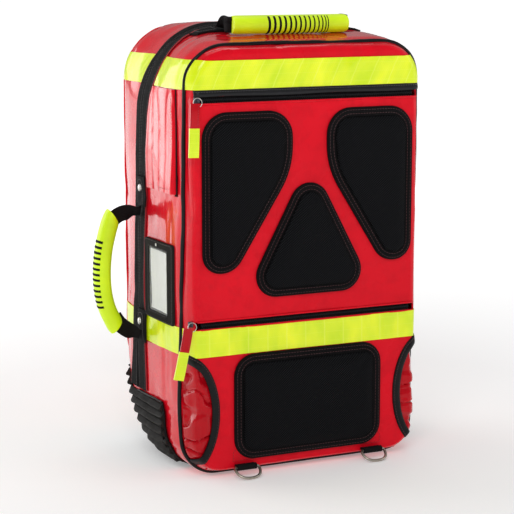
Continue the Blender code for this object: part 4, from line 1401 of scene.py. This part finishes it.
def build_sliders():
    for prefix, z, lean, shift, back in (
        ("upper_zip", UPPER_ZIP_Z, 0.03, -0.0025, 0.0030),
        ("lower_zip", LOWER_ZIP_Z + 0.002, 0.19, -0.0110, 0.0100),
    ):
        x = -0.163 + shift * 0.8
        body = f"{prefix}_slider"
        plate = block(
            f"{prefix}_slider_plate",
            (x - 0.0044, -0.1186 + back, z - 0.0040),
            (x + 0.0044, -0.1150 + back, z + 0.0040),
            "dark_metal",
            0.0012,
            3,
        )
        finish_piece(plate, body, [body], 50)
        angle = np.linspace(0, math.pi, 15)
        bridge = np.stack(
            [np.full(15, x), back - 0.1186 - 0.0028 * np.sin(angle), z + 0.0034 * np.cos(angle)], 1
        )
        arch_piece = swept(
            f"{prefix}_slider_bridge", bridge, (1, 0, 0), circle(0.0006, 10, 2.2), "dark_metal"
        )
        finish_piece(arch_piece, body, sharp=60)
        top = z - 0.0035
        pull_x = -0.168 + shift
        pull_body = f"{prefix}_pull"
        middle = np.array((x - 0.0008, -0.1226 + back, top + 0.0008))
        angle = np.linspace(0, 2 * math.pi, 29)[:-1]
        oval = np.stack([0.0062 * np.cos(angle), 0.0008 * np.sin(angle), 0.0060 * np.sin(angle)], 1)
        link = tube(
            f"{prefix}_pull_link",
            middle + oval,
            facing(oval, (0.0, 1.0, 0.1)),
            0.00055,
            "bright_metal",
            8,
            True,
        )
        finish_piece(link, pull_body, sharp=60)
        front = np.broadcast_to((0.0, -1.0, 0.0), (15, 7, 3))
        tab = strip_grid(pull_x, -0.1245 + back, top, 0.0340, 0.0134, lean, 0.0008)
        tab_piece = sheet_solid(f"{prefix}_pull_tab", tab, -0.0007, 0.0007, "crumpled_red_shade_darkened", normal=front)
        finish_piece(tab_piece, pull_body, [f"{prefix}_pull"], 60)
        end = tab[-1].mean(0)
        tip = strip_grid(end[0], -0.1243 + back, end[2] + 0.0015, 0.0385, 0.0142, lean * 1.15, 0.0006)
        tip_piece = sheet_solid(
            f"{prefix}_pull_tip_fold", tip, -0.0011, 0.0011, "neon_reflective", normal=front
        )
        finish_piece(tip_piece, pull_body, [f"{prefix}_pull_tip"], 60)
        for label, column in (("a", 1), ("b", -2)):
            row = tab[1:-3, column] + (0, -0.0009, 0)
            stitches(f"{prefix}_pull_stitches_{label}", row, pull_body, "bright_thread", *FINE_STITCH)


# ---------------------------------------------------------------- side fittings


def side_grid(low_y, high_y, low_z, high_z, rows=24, columns=30):
    y = np.linspace(low_y, high_y, rows)[:, None] + np.zeros((rows, columns))
    z = np.linspace(low_z, high_z, columns)[None] + np.zeros((rows, columns))
    return np.stack([-width_at(y, z), y, z], 2)


def build_side_flap():
    z = np.linspace(0.3890, 0.5290, 54)[None] + np.zeros((40, 54))
    share = np.linspace(0, 1, 40)[:, None] + np.zeros((40, 54))
    y = -0.0788 + (np.minimum(0.0130, back_tape_edge(z) - 0.0010) + 0.0788) * share
    grid = np.stack([-width_at(y, z), y, z], 2)
    roll = 0.0030 * np.exp(-((share - 0.045) / 0.05) ** 2) + 0.0008 * np.exp(-((share - 0.97) / 0.03) ** 2)
    lift = 0.0030 * ramp(-grid[..., 2], -0.46, -0.388) * ramp(0.75 - share, 0.0, 0.4)
    soft = 0.0006 * noise(grid / (1.0, 0.022, 0.070), 51)
    obj = hull_sheet("side_pocket_flap", grid, 0.0009, 0.0026 + roll + lift + soft, "red_tarpaulin")
    finish_piece(obj, "side_flap", ["side_flap"], 60)
    # A thin black cord along the flap's front edge: a painted shadow line for the gap under the raised
    # edge.
    edge = np.stack([-width_at(-0.0796, z[0]) - 0.0006, np.full(54, -0.0796), z[0]], 1)
    cord = tube("side_flap_shadow_cord", edge, facing(edge, (-1.0, 0.0, 0.0)), 0.0010, "black_binding")
    finish_piece(cord, "bag", sharp=60)
    # A black sheet on the skin at the bottom of the flap: painted shade for the pocket's dark mouth.
    slot = hull_sheet(
        "side_pocket_mouth_shade", side_grid(-0.0800, -0.0740, 0.3860, 0.4140, 6, 12), 0.0002, 0.0009, "zip_band"
    )
    finish_piece(slot, "bag", sharp=60)
    normal = normals_of(grid)
    for label, row in (("front", 4), ("hem", None)):
        if row is not None:
            line = (grid + normal * (surface_move(grid)[..., None] + 0.0034))[row, 2:-2]
        else:
            line = (grid + normal * (surface_move(grid) + 0.0028 + lift)[..., None])[3:-3, 2]
        stitches(f"side_flap_stitches_{label}", line, "side_flap", "bright_thread", 0.0026, 0.0014, 0.0003)


def keep_node(name, look, edge=None, segments=2):
    """A CAD node whose shape is right stays, with a finished material and softened edges."""
    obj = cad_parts[name]
    obj.data.materials.clear()
    obj.data.materials.append(LOOKS[look])
    if edge:
        weld = obj.modifiers.new("weld", "WELD")
        weld.merge_threshold = 1e-5
        bevelled(obj, edge, segments)
    return obj


def build_window():
    keep_node("id_window_film", "clear_film")
    low_y, high_y, low_z, high_z = -0.0730, 0.0210, 0.2075, 0.3190
    hole = (-0.0540, 0.0060, 0.2185, 0.3080)
    backing = hull_sheet(
        "id_window_backing", side_grid(-0.058, 0.010, 0.2145, 0.3120, 8, 12), 0.0001, 0.0005, "zip_band"
    )
    finish_piece(backing, "bag", sharp=60)
    grid = side_grid(-0.0510, 0.0030, 0.2215, 0.3050, 16, 24)
    share = (grid[..., 1] + 0.0510) / 0.054
    curl = 0.0005 * np.cos(share * math.pi) ** 2 + 0.0002 * np.sin(grid[..., 2] * 90)
    card = hull_sheet("id_card", grid, 0.0008 + curl, 0.0011 + curl, "card_paper")
    finish_piece(card, "bag", ["id_window_card"], 60)

    def ring_line(inset):
        """The frame's ring of points from its outside (0) to the window (1)."""
        y0, y1 = low_y + (hole[0] - low_y) * inset, high_y + (hole[1] - high_y) * inset
        z0, z1 = low_z + (hole[2] - low_z) * inset, high_z + (hole[3] - high_z) * inset
        corner = 0.004 + 0.001 * (1 - inset)
        loop = rounded([(y1, z1), (y0, z1), (y0, z0), (y1, z0)], [corner] * 4, 4)
        points = []
        for (a, b), (c, d) in zip(loop, loop[1:] + loop[:1]):
            count = 12 if math.hypot(c - a, d - b) > 0.02 else 1
            for k in range(count):
                points.append((a + (c - a) * k / count, b + (d - b) * k / count))
        line = np.array(points)
        return np.stack([-width_at(line[:, 0], line[:, 1]), line[:, 0], line[:, 1]], 1)

    shares = np.array((0.0, 0.03, 0.10, 0.22, 0.30, 0.5, 0.7, 0.86, 0.95, 1.0))
    rises = np.array((0.0024, 0.0036, 0.0041, 0.0040, 0.0034, 0.0036, 0.0036, 0.0038, 0.0034, 0.0022))
    grid = np.stack([ring_line(s) for s in shares])
    normal = facing(grid, (-1.0, 0.0, 0.0))
    obj = sheet_solid("id_window_border", grid, 0.0010, rises[:, None], "window_frame", True, normal)
    finish_piece(obj, "bag", ["id_window_frame"], 50)
    for label, share in (("outer", 0.18), ("inner", 0.90)):
        line = ring_line(share) + (-0.0041, 0, 0)
        stitches(f"id_window_stitches_{label}", line, "bag", "grey_thread", *EDGE_STITCH, True)
    notch = block(
        "id_window_notch", (-0.1889, -0.0250, 0.3115), (-0.1880, -0.0215, 0.3155), "bright_metal", 0.0004
    )
    finish_piece(notch, "bag", sharp=50)


SIDE_Y = 0.032
SIDE_GRIP = [(-0.2305, 0.3480), (-0.2345, 0.3390), (-0.2392, 0.3240), (-0.2445, 0.3010), (-0.2472, 0.2736)]
SIDE_GRIP += [(-0.2464, 0.2460), (-0.2415, 0.2220), (-0.2330, 0.2020), (-0.2275, 0.1915)]
SIDE_UPPER = [(-0.1890, 0.3540), (-0.1960, 0.3528), (-0.2076, 0.3528), (-0.2194, 0.3510), (-0.2290, 0.3450)]
SIDE_UPPER += [(-0.2350, 0.3360)]
SIDE_LOWER = [(-0.1890, 0.1770), (-0.1980, 0.1788), (-0.2069, 0.1831), (-0.2158, 0.1890), (-0.2240, 0.1965)]
SIDE_LOWER += [(-0.2300, 0.2060)]


def grip_scales(count):
    """Narrows a moulded grip a little towards its two ends."""
    ends = 0.90
    share = np.linspace(0, 1, count)
    near = np.minimum(share, 1 - share)
    return ends + (1 - ends) * np.sqrt(np.clip(1 - (1 - np.clip(near / 0.055, 0, 1)) ** 2, 0, 1))


def inlays(name, path, side, profile, shares, widths, angles, body):
    """Black ribs set across a moulded grip, on the arc of its section between two angles."""
    path = np.asarray(path, float)
    side = np.asarray(side, float) / np.linalg.norm(side)
    run = run_along(path)
    ahead = tangents(path)
    angle = np.radians(np.linspace(*angles, 14))
    pieces_points, pieces_faces = [], []
    for share, width in zip(shares, widths):
        rows = []
        for offset in np.linspace(-0.5, 0.5, 4):
            at = share * run[-1] + offset * width
            here = np.array([np.interp(at, run, path[:, k]) for k in range(3)])
            direction = np.array([np.interp(at, run, ahead[:, k]) for k in range(3)])
            across = np.cross(side, direction / np.linalg.norm(direction))
            bow = 0.0004 * (1 - (2 * offset) ** 2)
            row = [
                here + across * (profile[0] + bow) * math.cos(a) + side * (profile[1] + bow) * math.sin(a)
                for a in angle
            ]
            rows.append(row)
        grid = np.array(rows)
        spine = np.array([np.interp(share * run[-1], run, path[:, k]) for k in range(3)])
        out = grid - spine
        out /= np.linalg.norm(out, axis=2, keepdims=True)
        piece = sheet_solid("inlay", grid, -0.0012, 0.0003, "grip_inlay", normal=out)
        start = sum(len(p) for p in pieces_points)
        pieces_points.append(vertices_of(piece))
        pieces_faces += [[i + start for i in face.vertices] for face in piece.data.polygons]
        bpy.data.objects.remove(piece)
    points = np.concatenate(pieces_points)
    obj = add_mesh(name, points, pieces_faces, "grip_inlay", points)
    return finish_piece(obj, body, sharp=50)


def leaf_strap(name, line, material):
    """Webbing that leaves its tab pinched, then turns its face to the harness side."""
    path = curved([(x, SIDE_Y, z) for x, z in line], 0.002)
    share = np.linspace(0, 1, len(path))
    turns = np.interp(share, (0, 0.16, 0.42, 1.0), np.radians((48, 36, 86, 90)))
    path[:, 1] -= 0.0025 * np.sin(share * math.pi)
    return swept(name, path, (0, 1, 0), lens(0.0222, 0.0026, 24), material, turns=turns)


def build_side_handle():
    for word, line in (("upper", SIDE_UPPER), ("lower", SIDE_LOWER)):
        obj = leaf_strap(f"side_handle_strap_{word}", line, "black_webbing")
        finish_piece(
            obj, "side_handle", ["side_handle_webbing"] if word == "upper" else (), 60
        )
    grip = curved([(x, SIDE_Y, z) for x, z in SIDE_GRIP], 0.003)
    shape = circle(0.0120, 28, 0.0138 / 0.0120, 0.92)
    share = np.linspace(0, 1, len(grip))
    slant = -0.62 * ramp(-share, -0.07, 0.0) + 0.42 * ramp(share, 0.93, 1.0)
    obj = swept(
        "side_handle_hold", grip, (0, 1, 0), shape, "neon_grip", scales=grip_scales(len(grip)), shear=slant
    )
    finish_piece(obj, "side_handle", ["side_handle_grip"], 60)
    shares = np.linspace(0.235, 0.775, 13)
    inlays(
        "side_handle_inlays",
        grip,
        (0, 1, 0),
        (0.0121, 0.0139),
        shares,
        np.linspace(0.0034, 0.0030, 13),
        SIDE_ARC,
        "side_handle",
    )
    for word, low, tall, puff in (("upper", 0.3600, 0.042, 0.0), ("lower", 0.1670, 0.046, 0.0030)):
        grid = side_grid(0.0170, 0.0450, low, low + tall, 14, 26)
        share = (grid[..., 2] - low) / tall
        over = np.sin(np.pi * np.clip((grid[..., 1] - 0.017) / 0.028, 0, 1))
        bulge = (0.0012 + puff * np.sin(np.pi * share)) * over + 0.0004 * np.sin(share * 9)
        obj = hull_sheet(f"side_handle_tab_{word}", grid, 0.0030, 0.0046 + bulge, "black_webbing")
        finish_piece(obj, "bag", [f"side_handle_anchor_{word}"], 60)
        half, top, x = 0.0095, low + tall - 0.006, -0.1900
        loop = [(x, -half, low + 0.005), (x, -half, top - 0.008)]
        loop += [
            (x, half * math.cos(a), top - 0.008 + half * math.sin(a))
            for a in np.radians(np.arange(180, -1, -20))
        ]
        loop += [(x, half, top - 0.008), (x, half, low + 0.005)]
        loop = resample(loop, 0.0034)
        depth = 0.0050 + (0.0012 + puff * np.sin(np.pi * (loop[:, 2] - low) / tall)) * 0.75
        loop = np.stack(
            [-width_at(loop[:, 1] + 0.031, loop[:, 2]) - depth, loop[:, 1] + 0.031, loop[:, 2]], 1
        )
        stitches(f"side_handle_tab_stitches_{word}", loop, "bag", "grey_thread", 0.0022, 0.0012, 0.00038)
        rings = []
        out = float(np.interp(low, (0.1670, 0.3600), (-0.1935, -0.1910)))
        rivet_z = low + (0.030 if word == "lower" else 0.026)
        for radius, away in (
            (0.0001, -0.0018), (0.0024, -0.0016), (0.0036, -0.0009), (0.0041, 0.0), (0.0041, 0.0022)
        ):
            rings.append([(out + away, 0.0300 + u, rivet_z + v) for u, v in circle(radius, 20, 1.25)])
        rivet = lofted(f"side_handle_rivet_head_{word}", rings, "bright_metal")
        finish_piece(rivet, "bag", [f"side_handle_rivet_{word}"], 50)


SIDE_ARC = (-54, 46)
TOP_ARC = (-62, 84)
HANDLE_Y, HANDLE_Z = -0.015, 0.6145
HANDLE_LEAN = math.radians(4.9)


def build_top_handle():
    out = np.array((0.0, -math.cos(HANDLE_LEAN), -math.sin(HANDLE_LEAN)))
    normal = np.array((0.0, -out[2], out[1]))

    def placed(line):
        return [np.array((x, HANDLE_Y, HANDLE_Z)) + out * r for x, r in line]

    half = [(-0.0840, 0.0010), (-0.0865, 0.0100), (-0.0892, 0.0200), (-0.0908, 0.0290), (-0.0900, 0.0345)]
    grip_half = [(-0.0865, 0.0362), (-0.0800, 0.0364), (-0.0500, 0.0366)]
    grip = grip_half + [(0.0, 0.0368)] + [(-x, r) for x, r in reversed(grip_half)]
    whole = half + grip + [(-x, r) for x, r in reversed(half)]
    strap = curved(placed(whole), 0.002)
    reach = (strap - (0, HANDLE_Y, HANDLE_Z)) @ out
    turns = np.radians(80) * ramp(-reach, -0.022, -0.004) * np.where(strap[:, 0] < 0, 1, -1)
    strap = strap - np.array((0, 0, 1.0)) * (0.0075 * ramp(-reach, -0.018, 0.0))[:, None]
    obj = swept("top_handle_strap", strap, normal, lens(0.0220, 0.0026, 24), "black_webbing", turns=turns)
    finish_piece(obj, "top_handle", ["top_handle_webbing"], 60)
    line = curved(placed(grip), 0.003)
    shape = circle(0.0130, 28, 0.0125 / 0.0130, 0.92)
    obj = swept("top_handle_hold", line, normal, shape, "neon_grip", scales=grip_scales(len(line)))
    finish_piece(obj, "top_handle", ["top_handle_grip"], 60)
    shares = np.array(
        (0.296, 0.344, 0.391, 0.437, 0.482, 0.525, 0.568, 0.610, 0.650, 0.690, 0.728, 0.762, 0.790, 0.812)
    )
    widths = np.linspace(0.0036, 0.0013, 14)
    inlays("top_handle_inlays", line, normal, (0.0131, 0.0126), shares, widths, TOP_ARC, "top_handle")
    for side, word in ((-1, "left"), (1, "right")):
        x, y = np.meshgrid(np.linspace(0.0790, 0.1250, 26), np.linspace(-0.0250, 0.0040, 14))
        grid = np.stack([side * x, y, top_at(y, x)], 2)
        lift = 0.0026 + 0.0010 * np.sin((y + 0.025) / 0.029 * math.pi)
        tab = hull_sheet(f"top_handle_tab_{word}", grid, 0.0003, lift, "black_webbing")
        finish_piece(tab, "bag", [f"top_handle_anchor_{word}"], 60)
        loop = []
        for a, b in ((0.096, -0.021), (0.121, -0.021), (0.121, 0.000), (0.096, 0.000)):
            loop.append((side * a, b, float(top_at(b, a)) + 0.0036))
        stitches(
            f"top_handle_tab_stitches_{word}", loop, "bag", "grey_thread", 0.0024, 0.0013, 0.00032, True
        )


def build_d_rings():
    lean = math.radians(33)
    down = np.array((0.0, -math.cos(lean), -math.sin(lean)))
    for side, word in ((-1, "left"), (1, "right")):
        middle = np.array((side * 0.098, -0.1232, 0.0140))
        line = [middle + (x, 0, 0) for x in (-0.0165, -0.0055, 0.0055, 0.0165)]
        for angle in np.linspace(0, math.pi, 25):
            wide = 0.0180 * math.copysign(abs(math.cos(angle)) ** 0.8, math.cos(angle))
            deep = 0.0030 + 0.0175 * abs(math.sin(angle)) ** 0.8
            line.append(middle + (wide, 0, 0) + down * deep)
        line = resample(line, 0.0016, True)
        side_on = np.broadcast_to(np.cross((1.0, 0.0, 0.0), down), line.shape)
        obj = tube(f"d_ring_steel_{word}", line, side_on, 0.0020, "nickel_steel", 14, True)
        finish_piece(obj, f"d_ring_{word}", [f"d_ring_{word}"], 60)
        angle = np.radians(np.linspace(32, 328, 34))
        layers = []
        for radius, half in ((0.0044, 0.0026), (0.0026, 0.0003)):
            bend = np.stack([middle[1] + radius * np.cos(angle), middle[2] + radius * np.sin(angle)], 1)
            first, last = ((PAD_BACK + 0.0006, middle[2] + h) for h in (half, -half))
            layers.append(np.concatenate([[first], bend, [last]]))
        section_line = np.concatenate([layers[0], layers[1][::-1]])
        rings = [[(x, y, z) for y, z in section_line] for x in np.linspace(-0.0145, 0.0145, 12) + middle[0]]
        loop = lofted(f"d_ring_tab_{word}", rings, "black_webbing")
        finish_piece(loop, "bag", [f"d_ring_loop_{word}"], 50)
        patch = [
            (middle[0] + u, 0.0, v)
            for u, v in ((-0.016, 0.0215), (0.016, 0.0215), (0.016, 0.036), (-0.016, 0.036))
        ]
        patch = [(x, front_at(x, z) - 0.0004, z) for x, _, z in patch]
        lines = resample(patch, 0.004, True)
        lines[:, 1] = [front_at(x, z) - 0.0001 for x, _, z in lines]
        stitches(
            f"d_ring_patch_stitches_{word}", lines, "bag", "bright_thread", 0.0026, 0.0013, 0.00034, True
        )


# ---------------------------------------------------------------- inside


def build_inside():
    keep_node("back_stiffener", "stiffener_plastic", 0.0006)
    dividers = []
    for word, z in (("lower", 0.200), ("upper", 0.390)):
        low, high = (-0.1715, -0.0885, z - 0.0034), (0.1715, 0.0445, z + 0.0034)
        obj = block(f"divider_pad_{word}", low, high, "black_mesh", 0.002)
        dividers.append(voxel_mesh(obj, 0.0045, "black_mesh"))
    swell(dividers, 2.0, 0.0030, lambda p: (np.abs(p[:, 0]) > 0.169) | (p[:, 1] < -0.086))
    for obj, word in zip(dividers, ("lower", "upper")):
        subdivide(obj)
        finish_piece(obj, "bag", [f"divider_{word}"], 80)
        z = 0.200 if word == "lower" else 0.390
        x = np.linspace(-0.1715, 0.1715, 60)
        line = at_level(x, 0.0448, z)
        cord = swept(f"divider_edge_{word}", line, (0, 0, 1), circle(0.0022, 12, 1.7), "black_binding")
        finish_piece(cord, "bag", sharp=60)
    for name, corners, depths in (
        ("shoulder_strap_left", ((-0.100, 0.240), (-0.035, 0.498)), (-0.1005, -0.1062)),
        ("shoulder_strap_right", ((0.035, 0.240), (0.100, 0.498)), (-0.1005, -0.1062)),
        ("hip_belt", ((-0.150, 0.060), (0.150, 0.150)), (-0.1005, -0.1066)),
    ):
        (x0, z0), (x1, z1) = corners
        outline = resample(rounded([(x1, z1), (x0, z1), (x0, z0), (x1, z0)], [0.02] * 4), 0.004, True)
        middle, half = sum(depths) / 2, abs(depths[1] - depths[0]) / 2
        rings = []
        for angle in np.linspace(-80, 80, 9):
            inset = 0.004 * (1 - math.cos(math.radians(angle)))
            rings.append(
                in_depth(inset_outline(outline, inset), middle - half * math.sin(math.radians(angle)))
            )
        obj = lofted(f"{name}_stowed", rings, "black_mesh")
        finish_piece(obj, "bag", [name], 60)
    outline = resample(
        rounded([(0.130, 0.450), (-0.130, 0.450), (-0.130, 0.180), (0.130, 0.180)], [0.03] * 4), 0.006, True
    )
    middle = outline.mean(0)
    rows = [in_depth(middle + (outline - middle) * d, 0.1178) for d in (1.0, 0.985, 0.9, 0.65, 0.35, 0.08)]
    obj = lofted("lid_pocket_mesh", [r + (0, 0.0006, 0) for r in rows[::-1]] + rows, "black_mesh")
    finish_piece(obj, "lid", ["lid_mesh_pocket"], 50)
    edge = in_depth(outline, 0.1172)
    cord = tube("lid_pocket_edge", edge, facing(edge, (0.0, 1.0, 0.0)), 0.0018, "black_binding", 10, True)
    finish_piece(cord, "lid", sharp=60)
    for name in ("main_zip_slider_lower", "main_zip_slider_upper"):
        keep_node(name, "nickel_steel", 0.0004, 2)


# ---------------------------------------------------------------- stage


def build_stage():
    LOOKS["floor_white"] = floor_look()
    corners = [(-60, -60, 0), (60, -60, 0), (60, 60, 0), (-60, 60, 0)]
    floor = add_mesh("floor", corners, [(0, 1, 2, 3)], "floor_white")
    world = bpy.data.worlds.new("studio")
    world.use_nodes = True
    sky = world.node_tree.nodes["Background"]
    sky.inputs["Color"].default_value = (1, 1, 1, 1)
    sky.inputs["Strength"].default_value = 0.30
    bpy.context.scene.world = world
    for name, place, target, size, power in (
        ("key_light", (-1.6, -2.6, 2.6), (0, -0.1, 0.30), (1.8, 1.4), 36.0),
        ("fill_light", (2.6, -2.0, 1.4), (0, 0, 0.30), (1.6, 2.2), 13.0),
        ("rim_light", (-2.4, 2.6, 1.2), (-0.1, 0.05, 0.32), (2.6, 2.4), 52.0),
        ("top_light", (0.2, 0.6, 3.0), (0, 0, 0.5), (2.0, 2.0), 18.0),
    ):
        data = bpy.data.lights.new(name, "AREA")
        data.shape = "RECTANGLE"
        data.size, data.size_y = size
        data.energy = power
        lamp = bpy.data.objects.new(name, data)
        lamp.location = place
        lamp.rotation_euler = (Vector(target) - Vector(place)).to_track_quat("-Z", "Y").to_euler()
        bpy.context.scene.collection.objects.link(lamp)


def floor_look():
    look = Look("floor_white", (0.9, 0.9, 0.9), Roughness=0.9, Specular_IOR_Level=0.1)
    look.shader.inputs["Emission Color"].default_value = (1, 1, 1, 1)
    place = look.node("NewGeometry").outputs["Position"]
    away = look.node("VectorMath", {0: place}, operation="LENGTH").outputs["Value"]
    look.drive("Emission Strength", look.ramp(away, 0.6, 2.6, 0.26, 0.80))
    return look.material


def build_camera():
    """The photograph's view: from the handle side of the harness face, a little above."""
    azimuth, elevation, distance = math.radians(-25), math.radians(10), 2.434
    back = Vector(
        (
            math.sin(azimuth) * math.cos(elevation),
            -math.cos(azimuth) * math.cos(elevation),
            math.sin(elevation),
        )
    )
    target = Vector((0, 0, 0.2786)) + Vector((0.906, -0.4226, 0)) * -0.0223
    data = bpy.data.cameras.new("camera")
    data.sensor_width = 36.0
    data.lens = 36.0 * 1700 / 514
    data.clip_start, data.clip_end = 0.05, 300
    camera = bpy.data.objects.new("camera", data)
    camera.location = target + back * distance
    camera.rotation_euler = (-back).to_track_quat("-Z", "Y").to_euler()
    bpy.context.scene.collection.objects.link(camera)
    bpy.context.scene.camera = camera


build_camera()
build_back_wall()
build_lid_wall()
build_cover()
build_gussets()
build_hip_bindings()
build_pads()
build_bands()
build_main_zip()
build_boots()
build_hinge_strip()
build_piping()
build_zips()
build_sliders()
build_side_flap()
build_window()
build_side_handle()
build_top_handle()
build_d_rings()
build_inside()
build_stage()
bpy.context.scene.view_settings.view_transform = "Standard"
